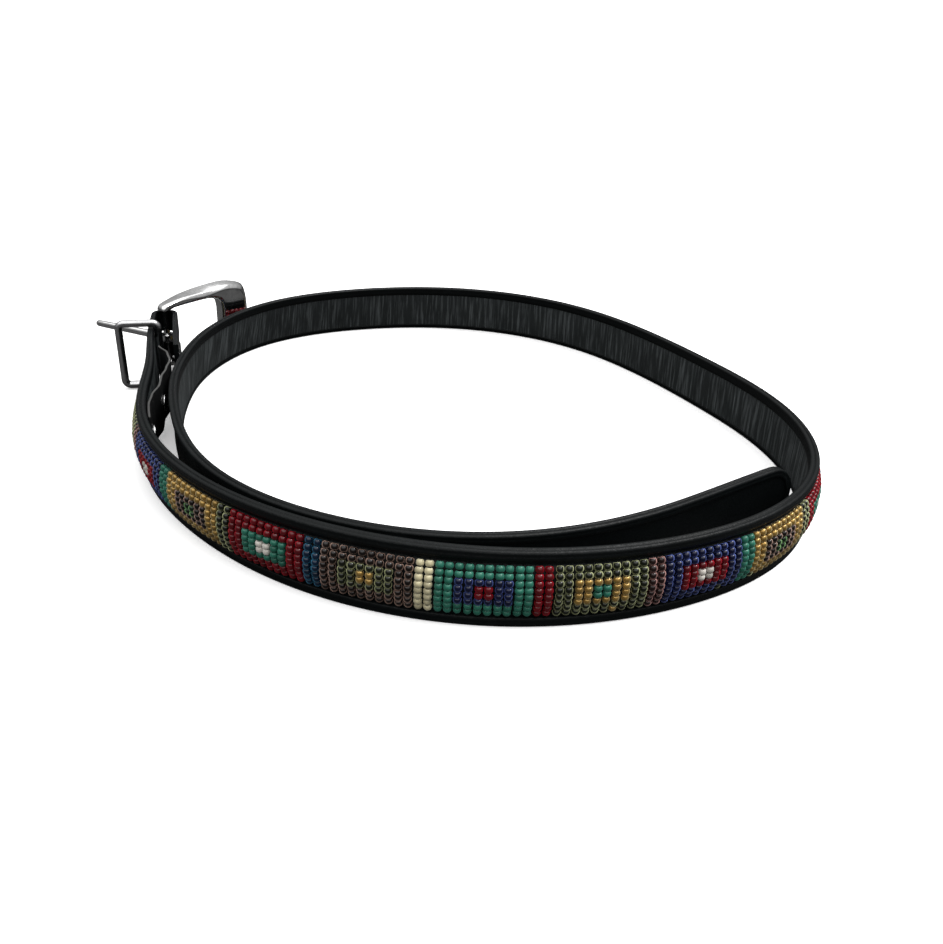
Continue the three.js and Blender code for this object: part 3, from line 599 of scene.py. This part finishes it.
def strap_section(along):
    height = mix(LEAF_WIDTH, STRAP_WIDTH, smooth(along, 2, FULL_WIDTH_AT))
    past = max(0.0, along - (STRAP_LENGTH - TIP_LENGTH))
    height = height * max(0.1, math.sqrt(max(0.0, 1 - (past / TIP_LENGTH) ** 2)))
    half = thickness_at(along) / 2
    last = STRAP_LENGTH - along
    if last < 1.5:
        half *= math.sqrt(max(0.16, 1 - (1 - last / 1.5) ** 2))
    low, high = MIDDLE - height / 2, MIDDLE + height / 2
    near, far = CHANNEL_FADES
    beads = smooth(along, BEADING_START - far, BEADING_START - near)
    beads *= 1 - smooth(along, BEADING_END + near, BEADING_END + far)
    channel = mix(PLAIN_GROOVE, CHANNEL_DEPTH, beads) * smooth(along, 6, 18)
    recess = LINING_RECESS * smooth(along, *RECESS_BEGINS)
    recess = recess * (1 - smooth(along, *(LINING_END + fade for fade in RECESS_FADES)))
    grooves = []
    for lower, upper in ((LOWER_RIM, UPPER_RIM), (LOWER_LINING_RIM, UPPER_LINING_RIM)):
        ends = TIP_LENGTH - (lower + upper) / 2
        share = math.sqrt(max(0.0, 1 - (past / ends) ** 2))
        centre = (lower + STRAP_WIDTH - upper) / 2
        room = (STRAP_WIDTH - lower - upper) / 2 * share
        room = max(0.3, min(room, height / 2 - min(half, height * EDGE_SHARE) - 0.3))
        grooves.append((max(low + 0.3, centre - room), min(high - 0.3, centre + room)))
        channel *= smooth(share, 0.0, 0.5)
    return strap_outline(half, low, high, max(0.02, channel), max(0.02, recess), RIM_CREASE, grooves)


BEADING_END = BEADING_START + COLUMN_COUNT * COLUMN_PITCH
LINING_START = FULL_WIDTH_AT + 6
LINING_END = STRAP_LENGTH - TIP_LENGTH - 6
START = Stations(0.0)
START_POINT, START_WAY, START_OUT = START.point[0], START.way[0], START.outward[0]
FOLD_POINT = START_POINT - START_OUT * FOLD_SPACING / 2


def fold_direction(degrees):
    angle = math.radians(degrees)
    return START_OUT * math.cos(angle) - START_WAY * math.sin(angle)


LINE_OF_STRAP = fold_direction(90)
HEEL = FOLD_POINT + LINE_OF_STRAP * ((FOLD_SPACING - LEAF_THICKNESS) / 2 - HEEL_BAR / 2 - CLEARANCE)
TONGUE_HEIGHT = END_LIFT + MIDDLE - TONGUE_DROP


def leaf_ring(point, outward, lift):
    half = LEAF_THICKNESS / 2
    low, high = MIDDLE - LEAF_WIDTH / 2, MIDDLE + LEAF_WIDTH / 2
    grooves = [(low + LOWER_RIM, high - UPPER_RIM), (low + LOWER_LINING_RIM, high - UPPER_LINING_RIM)]
    outline = strap_outline(half, low, high, 0.02, 0.02, 0, grooves)
    ring = point + outward * outline[:, :1]
    ring[:, 2] += outline[:, 1] + lift
    return ring


def block(name, middle, across, up, along, outline, depth):
    """A prism for cutting: an outline across and up, run along both ways from its middle."""
    verts = [middle + across * x + up * y + along * z for z in (-depth, depth) for x, y in outline]
    faces = facing_out(verts, loft_faces(2, len(outline)))
    return make_object(name, verts, faces, None, LEATHER)


def strap_cutters(slot_too):
    cutters = []
    circle = [(math.cos(a), math.sin(a)) for a in np.linspace(0, 2 * math.pi, 32, endpoint=False)]
    for i in range(HOLE_COUNT):
        s = Stations(STRAP_LENGTH - FIRST_HOLE_FROM_TIP - i * HOLE_PITCH)
        middle = s.point[0] + s.outward[0] * MIDDLE * s.lean[0] + UP * MIDDLE
        hole = [(x * HOLE_DIAMETER / 2, y * HOLE_DIAMETER / 2) for x, y in circle]
        cutters.append(block(f"hole_cutter_{i}", middle, s.way[0], UP, s.outward[0], hole, STRAP_THICKNESS))
    if slot_too:
        radius = SLOT_HEIGHT / 2
        ends = [(-SLOT_REACH + radius + radius * math.cos(a), radius * math.sin(a))
                for a in np.linspace(math.pi / 2, 3 * math.pi / 2, 12)]
        front = FOLD_SPACING / 2 + LEAF_THICKNESS * 2
        outline = ends + [(front, -radius), (front, radius)]
        middle = FOLD_POINT * [1, 1, 0] + UP * TONGUE_HEIGHT
        depth = FOLD_SPACING / 2 + STRAP_THICKNESS
        slot = block("slot_cutter", middle, fold_direction(90), UP, fold_direction(0), outline, depth)
        cutters.append(slot)
    return cutters


def make_strap():
    rings, u = [], []
    for share in np.linspace(1, 1 / 16, 16):
        s = Stations(RETURN_LENGTH * share)
        point = s.point[0] - s.outward[0] * (FOLD_SPACING + RETURN_SPREAD * share)
        rings.append(leaf_ring(point, -s.outward[0], s.lift[0]))
        u.append(-RETURN_LENGTH * share - 15)
    for i in range(20):
        outward = fold_direction(180 - 180 * i / 20)
        rings.append(leaf_ring(FOLD_POINT + outward * FOLD_SPACING / 2, outward, START.lift[0]))
        u.append(-15 + 15 * i / 20)
    tip = STRAP_LENGTH - TIP_LENGTH
    even = np.arange(0, tip, 2.2)
    edges = [RECESS_BEGINS[0], 18.7, RECESS_BEGINS[1]]
    edges += [BEADING_START - fade for fade in CHANNEL_FADES] + [BEADING_END + fade for fade in CHANNEL_FADES]
    edges += [LINING_END + fade for fade in RECESS_FADES]
    round_end = tip + TIP_LENGTH * np.sin(np.radians(np.linspace(0, 90, 26)))
    stations = np.unique(np.concatenate([even, edges, round_end]))
    keep = np.concatenate([[True], np.diff(stations) > 0.02])
    stations = stations[keep]
    places = Stations(stations)
    outlines = np.array([strap_section(a) for a in stations])
    body = places.rings(outlines[..., 0], outlines[..., 1])
    verts = np.concatenate([np.array(rings), body])
    u = np.concatenate([u, stations])
    rows, count = verts.shape[:2]
    uv = np.stack([np.repeat(u[:, None], count, 1), verts[..., 2]], -1).reshape(-1, 2)
    flat = verts.reshape(-1, 3)
    strap = make_object("strap_leather", flat, facing_out(flat, loft_faces(rows, count)), "belt",
                        LEATHER, uv)
    cut(strap, strap_cutters(True))
    strap.data.set_sharp_from_angle(angle=math.radians(50))
    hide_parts("strap")


def make_lining():
    stations = np.arange(LINING_START, LINING_END, 1.6)
    places = Stations(stations)
    low, high = LOWER_LINING_RIM + 0.15, STRAP_WIDTH - UPPER_LINING_RIM - 0.15
    heights = np.linspace(low, high, 9)
    wrinkle = random.uniform(-1, 1, (len(stations), 9)) * 0.06
    wrinkle[:, (0, -1)] = 0
    half = thickness_at(stations)[:, None] / 2
    pillow = 0.1 * (1 - ((heights - (low + high) / 2) / ((high - low) / 2)) ** 4)
    face = -half + LINING_STANDS_IN + 0.15 - pillow + wrinkle
    back = np.repeat(-half + 1.0, 2, axis=1)
    x = np.concatenate([face, back], axis=1)
    y = np.broadcast_to(np.concatenate([heights, [high, low]]), x.shape)
    verts = places.rings(x, y)
    rows, count = verts.shape[:2]
    uv = np.stack([np.repeat(stations[:, None], count, 1), y], -1).reshape(-1, 2)
    flat = verts.reshape(-1, 3)
    lining = make_object("lining_band", flat, facing_out(flat, loft_faces(rows, count)), "belt",
                         LINING, uv)
    cut(lining, strap_cutters(False))
    lining.data.set_sharp_from_angle(angle=math.radians(50))
    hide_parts("lining")


# Beadwork

def crown_at(y):
    middle, reach = (BEADING_BOTTOM + BEADING_TOP) / 2, (BEADING_TOP - BEADING_BOTTOM) / 2
    share = (y - middle) / reach
    proud = mix(BEADING_CROWN, BEADING_EDGE, share**2)
    slope = 2 * (BEADING_EDGE - BEADING_CROWN) * share / reach
    return HALF + proud, slope


def bead_colours(column):
    """The eight colours of a column, counted from the first column of block C."""
    period = BLOCK_COLUMNS + SPACER_COLUMNS
    block_number, place = divmod(column, period)
    if place >= BLOCK_COLUMNS:
        return [SPACERS[block_number % len(SPACERS)]] * BEADS_PER_COLUMN
    outer, middle, core = BLOCKS[BLOCK_ORDER[block_number % len(BLOCK_ORDER)]]
    pair = place // 2
    if pair in (0, 4):
        return [outer] * BEADS_PER_COLUMN
    if pair in (1, 3):
        return [outer] * 2 + [middle] * 4 + [outer] * 2
    return [outer] * 2 + [middle, core, core, middle] + [outer] * 2


def bead_profile():
    """Radius, height and nearness to the ends round a seed bead's section, as shares of its sizes. The
    nearness to the ends masks the painted highlight there.
    """
    turn = np.radians((-135, -92, -64, -38, -13, 13, 38, 64, 92, 135))
    radius = 1 - BEAD_WALL + BEAD_WALL * np.cos(turn)
    return np.stack([radius, np.sin(turn), smooth(np.abs(turn), 0.55, 1.5)], 1)


def make_beads():
    profile = bead_profile()
    around = 12
    angles = np.linspace(0, 2 * math.pi, around, endpoint=False)
    heights = BEADING_BOTTOM + (np.arange(BEADS_PER_COLUMN) + 0.5) * \
        (BEADING_TOP - BEADING_BOTTOM) / BEADS_PER_COLUMN
    parts = {name: [] for name in GLASS}
    alongs = BEADING_START + (np.arange(COLUMN_COUNT) + 0.5) * COLUMN_PITCH
    alongs += np.interp(alongs - BEADING_START, SHIFT_BETWEEN, COLUMN_SHIFT)
    places = Stations(alongs)
    names = sorted(GLASS)
    for c in range(COLUMN_COUNT):
        colours = bead_colours(c + FIRST_COLUMN)
        sway = random.uniform(-0.1, 0.1)
        for row in range(BEADS_PER_COLUMN):
            name = colours[row]
            if random.rand() < STRAY_BEADS:
                name = names[random.randint(len(names))]
            size = random.normal(1.0, 0.03, 2)
            face, slope = crown_at(heights[row])
            radius = BEAD_WIDTH / 2 * size[0]
            length = BEAD_LENGTH / 2 * min(1.04, size[1])
            outward, way = places.outward[c], places.way[c]
            lean = places.lean[c]
            axis = unit(outward * (slope + lean) + UP + way * random.uniform(-0.07, 0.07)
                        + outward * random.uniform(-0.07, 0.07))
            across = unit(way - axis * np.dot(way, axis))
            front = np.cross(axis, across)
            x = face - BEAD_WIDTH / 2
            y = heights[row] + random.uniform(-0.04, 0.04)
            centre = places.point[c] + outward * (x + y * lean) + way * (sway + random.uniform(-0.06, 0.06))
            centre = centre + UP * (y + places.lift[c])
            r = profile[:, 0][:, None, None] * radius
            ring = np.cos(angles)[None, :, None] * across + np.sin(angles)[None, :, None] * front
            verts = centre + ring * r + axis * (profile[:, 1] * length)[:, None, None]
            tone = np.full(len(profile) * around, random.rand() ** 2)
            parts[name].append((verts.reshape(-1, 3), np.repeat(profile[:, 2], around), tone))
    pattern = np.array(loft_faces(len(profile), around, joined=True))
    first = parts["red"][0][0]
    if facing_out(first, [tuple(f) for f in pattern])[0] != tuple(pattern[0]):
        pattern = pattern[:, ::-1]
    for name, beads in parts.items():
        if not beads:
            continue
        verts = np.concatenate([b[0] for b in beads])
        step = len(profile) * around
        faces = (pattern[None] + (np.arange(len(beads)) * step)[:, None, None]).reshape(-1, 4).tolist()
        # ends masks the painted highlight at the bead's ends, and tone darkens each bead at random.
        shades = {title: np.concatenate([b[i] for b in beads]) for i, title in ((1, "ends"), (2, "tone"))}
        obj = make_object("beads_" + name, verts, faces, "belt", bead_look(name, *GLASS[name]),
                          attribute=shades)
        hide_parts("bead_panel")


def make_bead_backing():
    stations = np.arange(BEADING_START - 0.5, BEADING_END + 0.5, 2.0)
    heights = np.linspace(BEADING_BOTTOM - 0.3, BEADING_TOP + 0.1, 9)
    face = crown_at(heights)[0] - BEAD_WIDTH * 0.62
    floor = HALF - CHANNEL_DEPTH
    x = np.concatenate([np.maximum(face, floor + 0.1), [floor - 0.1, floor - 0.1]])
    y = np.concatenate([heights, [heights[-1], heights[0]]])
    verts = Stations(stations).rings(x, y)
    rows, count = verts.shape[:2]
    flat = verts.reshape(-1, 3)
    uv = np.stack([np.repeat(stations[:, None], count, 1), np.tile(y, (rows, 1))], -1).reshape(-1, 2)
    faces = facing_out(flat, loft_faces(rows, count))
    make_object("bead_backing", flat, faces, "belt", LEATHER, uv)


# Snap leaf and caps

def leaf_inset(along):
    rows = np.array(SNAP_LEAF, float)
    k = int(np.clip(np.searchsorted(rows[:, 0], along), 1, len(rows) - 1))
    share = smooth(along, rows[k - 1, 0], rows[k, 0])
    bulge = mix(rows[k - 1, 1], rows[k, 1], share)
    return thickness_at(along) / 2 + CLEARANCE + SNAP_LEAF_THICKNESS / 2 + bulge * STRAP_THICKNESS


def make_snap_leaf():
    stations = np.linspace(SNAP_LEAF[0][0], SNAP_LEAF[-1][0], 76)
    half = SNAP_LEAF_THICKNESS / 2
    reach = SNAP_LEAF_WIDTH / 2
    corners = [(half, -reach), (half, -0.4 * reach), (half, 0.4 * reach), (half, reach),
               (-half, reach), (-half, 0.4 * reach), (-half, -0.4 * reach), (-half, -reach)]
    outline = rounded(corners, 0.32, 3)
    ends = np.minimum(stations - stations[0], stations[-1] - stations)
    thin = np.sqrt(np.clip(ends / 0.8, 0.1, 1))[:, None]
    inset = np.array([leaf_inset(a) for a in stations])[:, None]
    heights = outline[:, 1] * np.ones_like(thin) + MIDDLE
    verts = Stations(stations).rings(outline[:, 0] * thin - inset, heights)
    rows, count = verts.shape[:2]
    flat = verts.reshape(-1, 3)
    uv = np.stack([np.repeat(stations[:, None], count, 1), np.tile(outline[:, 1], (rows, 1))], -1)
    uv = uv.reshape(-1, 2)
    # The leaf's top and bottom edges, where the painted highlight goes.
    edges = np.tile(smooth(np.abs(outline[:, 1]), reach - 0.3, reach - 0.05), rows)
    faces = facing_out(flat, loft_faces(rows, count))
    leaf = make_object("snap_leaf_leather", flat, faces, "belt", EDGE_HIGHLIGHT, uv, sharp=60,
                       attribute={"ends": edges})
    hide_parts("snap_leaf")


def make_snap_cap(number, along):
    s = Stations(along)
    outward, way, lean = s.outward[0], s.way[0], s.lean[0]
    rise = unit(UP + outward * lean)
    inward = -np.cross(way, rise)
    seat = leaf_inset(along) + SNAP_LEAF_THICKNESS / 2 - MIDDLE * lean
    middle = (s.point[0] - outward * seat) * [1, 1, 0] + UP * (MIDDLE + s.lift[0]) + inward * CLEARANCE
    radius = SNAP_DIAMETER / 2
    shares = [(0, -0.3), (0.9, -0.3), (0.98, 0.05), (1.0, 0.22), (0.97, 0.4), (0.9, 0.5), (0.84, 0.46),
              (0.78, 0.56), (0.66, 0.8), (0.46, 0.94), (0.24, 0.99), (0.0, 1.0)]
    verts = []
    count = 32
    for r, h in shares:
        for k in range(count):
            a = 2 * math.pi * k / count
            spoke = (way * math.cos(a) + rise * math.sin(a)) * max(r, 0.004) * radius
            verts.append(middle + spoke + inward * h * SNAP_HEIGHT)
    verts = np.array(verts)
    faces = facing_out(verts, loft_faces(len(shares), count))
    cap = make_object(f"snap_cap_{number}_dome", verts, faces, "belt", METAL, sharp=50)
    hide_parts(f"snap_cap_{number}")


# Buckle, tongue and keeper

def closed_curve(points, steps, tension=0.4):
    points = np.asarray(points, float)
    count = len(points)
    out = []
    for i in range(steps):
        place = count * i / steps
        k, t = int(place), place - int(place)
        p0, p1, p2, p3 = (points[(k + d) % count] for d in (-1, 0, 1, 2))
        t0, t1 = tension * (p2 - p0), tension * (p3 - p1)
        out.append(p1 + t0 * t + (3 * (p2 - p1) - 2 * t0 - t1) * t**2 + (2 * (p1 - p2) + t0 + t1) * t**3)
    return np.array(out)


def frame_place(along, front, height):
    way = turned(LINE_OF_STRAP, FRAME_SWING)
    middle = mix(END_LIFT + MIDDLE, FRAME_CLEAR_OF_FLOOR + FRAME_HEIGHT / 2, along / FRAME_LENGTH)
    spot = HEEL + way * along + turned(way, 90) * front
    return np.array([spot[0], spot[1], middle + height])


def face_of_frame(along, sign, bow):
    fullest = FULLEST_AT * FRAME_LENGTH
    fall = (fullest**2 - (along - fullest) ** 2) / 2
    return sign * FRAME_DEPTH / 2 + fall / bow


def frame_ring(outer, inner, bar):
    width = np.linalg.norm(outer - inner)
    across = (outer - inner) / width
    bevel = (1 - bar) * FRAME_BEVEL * float(smooth(outer[0] / FRAME_LENGTH, 0, 0.5))
    chamfer = mix(0.2 * min(width, FRAME_DEPTH), 0.29 * HEEL_BAR, bar)
    outline = [
        (chamfer, 0, 0), (width - chamfer - bevel, 0, 0), (width - 0.7 * bevel, 0, chamfer),
        (width, 1, -chamfer), (width - chamfer, 1, 0), (chamfer, 1, 0), (0, 1, -chamfer), (0, 0, chamfer),
    ]
    flat = []
    for x, side, offset in outline:
        spot = inner + across * x
        cast = face_of_frame(spot[0], 1 if side else -1, FRONT_BOW if side else BACK_BOW)
        flat.append((x, mix(cast, HEEL_BAR / 2 * (1 if side else -1), bar) + offset))
    out = []
    for x, front in rounded(flat, mix(0.55, 0.8, bar), 4):
        spot = inner + across * x
        out.append(frame_place(spot[0], front, spot[1]))
    return out


def make_buckle():
    rows = [((a * FRAME_LENGTH, b * FRAME_HEIGHT / 2, bar), (c * WINDOW_LENGTH, d * WINDOW_HEIGHT / 2, bar))
            for a, b, c, d, bar in FRAME_SECTIONS]
    below = [tuple((x, -y, bar) for x, y, bar in row) for row in reversed(rows)]
    every = rows + below
    steps = 216
    outer = closed_curve([row[0] for row in every], steps)
    inner = closed_curve([row[1] for row in every], steps)
    rings = [frame_ring(o[:2], n[:2], float(np.clip(o[2], 0, 1))) for o, n in zip(outer, inner)]
    verts = np.array(rings)
    flat = verts.reshape(-1, 3)
    faces = facing_out(flat, loft_faces(verts.shape[0], verts.shape[1], joined=True))
    buckle = make_object("buckle_frame_polished", flat, faces, "buckle", METAL, sharp=40)
    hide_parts("buckle_frame")


def make_tongue():
    way = turned(LINE_OF_STRAP, TONGUE_SWING)
    side = np.cross(UP, way)
    middle = HEEL * [1, 1, 0] + UP * TONGUE_HEIGHT
    inner = HEEL_BAR / 2 + CLEARANCE
    outer = inner + TONGUE_EYE_WALL
    half = TONGUE_WIDTH / 2
    profile = rounded([(inner, -half), (outer, -half), (outer, half), (inner, half)], 0.55, 4)
    verts, count = [], len(profile)
    for k in range(40):
        a = 2 * math.pi * k / 40
        spoke = way * math.cos(a) + side * math.sin(a)
        verts += [middle + spoke * r + UP * h for r, h in profile]
    faces = facing_out(verts, loft_faces(40, count, joined=True))
    sections = ((0, 0.9), (0.1, 0.96), (0.25, 1.0), (0.5, 0.97), (0.7, 0.94), (0.88, 0.91), (0.94, 0.88),
                (0.97, 0.85), (0.985, 0.76), (0.995, 0.6), (1, 0.36))
    start = len(verts)
    rod = []
    for share, size in sections:
        centre = middle + way * mix(inner + TONGUE_EYE_WALL * 0.4, TONGUE_LENGTH, share)
        for k in range(20):
            a = 2 * math.pi * k / 20
            rod.append(centre + side * half * 0.9 * size * math.cos(a) + UP * half * size * math.sin(a))
    rod_faces = facing_out(rod, loft_faces(len(sections), 20))
    verts += rod
    faces = faces + [tuple(start + i for i in face) for face in rod_faces]
    tongue = make_object("tongue_polished", verts, faces, "buckle_tongue", METAL, sharp=45)
    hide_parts("tongue")


def make_keeper():
    s = Stations(KEEPER_AT)
    point, outward, way = s.point[0] * [1, 1, 0], s.outward[0], s.way[0]
    wire = KEEPER_WIRE / 2
    inner = -(thickness_at(KEEPER_AT) / 2 + CLEARANCE + wire)
    outer = inner + KEEPER_DEPTH
    low = KEEPER_CLEAR_OF_FLOOR + wire
    high = s.lift[0] + STRAP_WIDTH + 2 * CLEARANCE + wire
    left, right = inner + KEEPER_CORNER, outer - KEEPER_CORNER
    bottom, top = low + KEEPER_CORNER, high - KEEPER_CORNER
    corners = ((right, bottom, -90), (right, top, 0), (left, top, 90), (left, bottom, 180))
    rings = []
    for x, z, first in corners:
        for i in range(13):
            bend = np.radians(first + 7.5 * i)
            for k in range(24):
                a = 2 * math.pi * k / 24
                reach = KEEPER_CORNER + wire * math.cos(a)
                rings.append(point + outward * (x + math.cos(bend) * reach) + way * wire * math.sin(a)
                             + UP * (z + math.sin(bend) * reach))
    faces = facing_out(rings, loft_faces(52, 24, joined=True))
    keeper = make_object("keeper_polished", rings, faces, "keeper", DARKER_METAL)
    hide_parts("keeper_loop")


# Stitches

def make_stitches():
    """Rows of stitches up the strap where its folded leaf and the snap leaf are sewn down."""
    verts, faces = [], []

    def stitch(a, b, outward):
        run = unit(b - a)
        across = np.cross(run, outward)
        start = len(verts)
        shares = (0.0, 0.12, 0.5, 0.88, 1.0)
        sizes = (0.3, 0.85, 1.0, 0.85, 0.3)
        sink = (-0.12, 0.05, 0.14, 0.05, -0.12)
        for share, size, rise in zip(shares, sizes, sink):
            for k in range(8):
                angle = 2 * math.pi * k / 8
                verts.append(a + (b - a) * share + outward * (rise + 0.26 * size * math.sin(angle))
                             + across * 0.3 * size * math.cos(angle))
        faces.extend(loft_faces(5, 8, start=start))

    for along, inset, low, high in ((39.0, None, 3.5, 21.5), (111.0, 0.0, 4.0, 21.0)):
        s = Stations(along)
        outward = s.outward[0]
        if inset is None:
            spread = FOLD_SPACING + RETURN_SPREAD * along / RETURN_LENGTH + LEAF_THICKNESS / 2
        else:
            spread = leaf_inset(along) + SNAP_LEAF_THICKNESS / 2
        for y in np.arange(low, high - 2, 2.6):
            ends = [s.point[0] + outward * (h * s.lean[0] * (inset is not None) - spread)
                    + UP * (h + s.lift[0]) for h in (y, y + 2.0)]
            stitch(ends[0], ends[1], -outward)
    flat = np.array(verts)
    make_object("stitches", flat, facing_out(flat, faces), "belt", THREAD)


make_strap()
make_lining()
make_bead_backing()
make_beads()
make_snap_leaf()
for snap_number, snap_along in enumerate(SNAPS_AT, 1):
    make_snap_cap(snap_number, snap_along)
make_buckle()
make_tongue()
make_keeper()
make_stitches()


# Floor, light and camera

def make_floor():
    reach = 6000.0
    verts = [(-reach, -reach, 0), (reach, -reach, 0), (reach, reach, 0), (-reach, reach, 0)]
    floor = make_object("floor", verts, [(0, 1, 2, 3)], None, floor_look())


def placed(right, up, back, place):
    rows = np.stack([right, up, back], 1).tolist()
    return Matrix([(*row, p) for row, p in zip(rows, place)] + [(0, 0, 0, 1)])


def make_sun(name, place, angle, power):
    """Soft light from the direction of a place, as wide as the angle in degrees."""
    data = bpy.data.lights.new(name, "SUN")
    data.angle = math.radians(angle)
    data.energy = power
    lamp = bpy.data.objects.new(name, data)
    back = unit(np.array(place))
    right = unit(np.cross([0.0, 1.0, 0.0], back))
    lamp.matrix_world = placed(right, np.cross(back, right), back, place)
    bpy.context.scene.collection.objects.link(lamp)


HORIZON = (0.015, 0.016, 0.018, 1)
ZENITH = (0.75, 0.75, 0.75, 1)
BACKDROP = (1.2, 1.2, 1.2, 1)


def make_world():
    """A room that is dark at the sides and light above, with a white backdrop that only the camera sees."""
    world = bpy.data.worlds.new("studio")
    world.use_nodes = True
    tree = world.node_tree
    ground = tree.nodes["Background"]
    ground.inputs["Strength"].default_value = 1.0
    place = tree.nodes.new("ShaderNodeTexCoord")
    split = tree.nodes.new("ShaderNodeSeparateXYZ")
    ramp = tree.nodes.new("ShaderNodeValToRGB")
    for element, position, colour in zip(ramp.color_ramp.elements, (0.0, 0.8), (HORIZON, ZENITH)):
        element.position = position
        element.color = colour
    tree.links.new(place.outputs["Generated"], split.inputs[0])
    tree.links.new(split.outputs["Z"], ramp.inputs[0])
    path = tree.nodes.new("ShaderNodeLightPath")
    seen = tree.nodes.new("ShaderNodeMix")
    seen.data_type = "RGBA"
    tree.links.new(path.outputs["Is Camera Ray"], seen.inputs[0])
    tree.links.new(ramp.outputs["Color"], seen.inputs[6])
    seen.inputs[7].default_value = BACKDROP
    tree.links.new(seen.outputs[2], ground.inputs["Color"])
    bpy.context.scene.world = world


def make_camera():
    data = bpy.data.cameras.new("camera")
    data.sensor_fit = "HORIZONTAL"
    data.sensor_width = SENSOR_WIDTH
    data.lens = PHOTO_FOCAL / PHOTO_WIDTH * SENSOR_WIDTH
    data.shift_x, data.shift_y = SHIFT
    data.clip_start = 0.01
    data.clip_end = 50
    pitch, roll = math.radians(CAMERA_PITCH), math.radians(CAMERA_ROLL)
    level = np.array([1.0, 0.0, 0.0])
    above = np.array([0.0, math.sin(pitch), math.cos(pitch)])
    right = level * math.cos(roll) + above * math.sin(roll)
    up = above * math.cos(roll) - level * math.sin(roll)
    back = np.cross(right, up)
    camera = bpy.data.objects.new("camera", data)
    camera.matrix_world = placed(right, up, back, [p / 1000 for p in CAMERA_PLACE])
    bpy.context.scene.collection.objects.link(camera)
    bpy.context.scene.camera = camera


make_floor()
make_sun("overhead", (0.5, 0.1, 1.0), angle=22, power=2.3)
make_sun("fill", (0.0, -0.2, 1.0), angle=100, power=1.9)
make_world()
make_camera()
bpy.context.scene.view_settings.view_transform = "Standard"
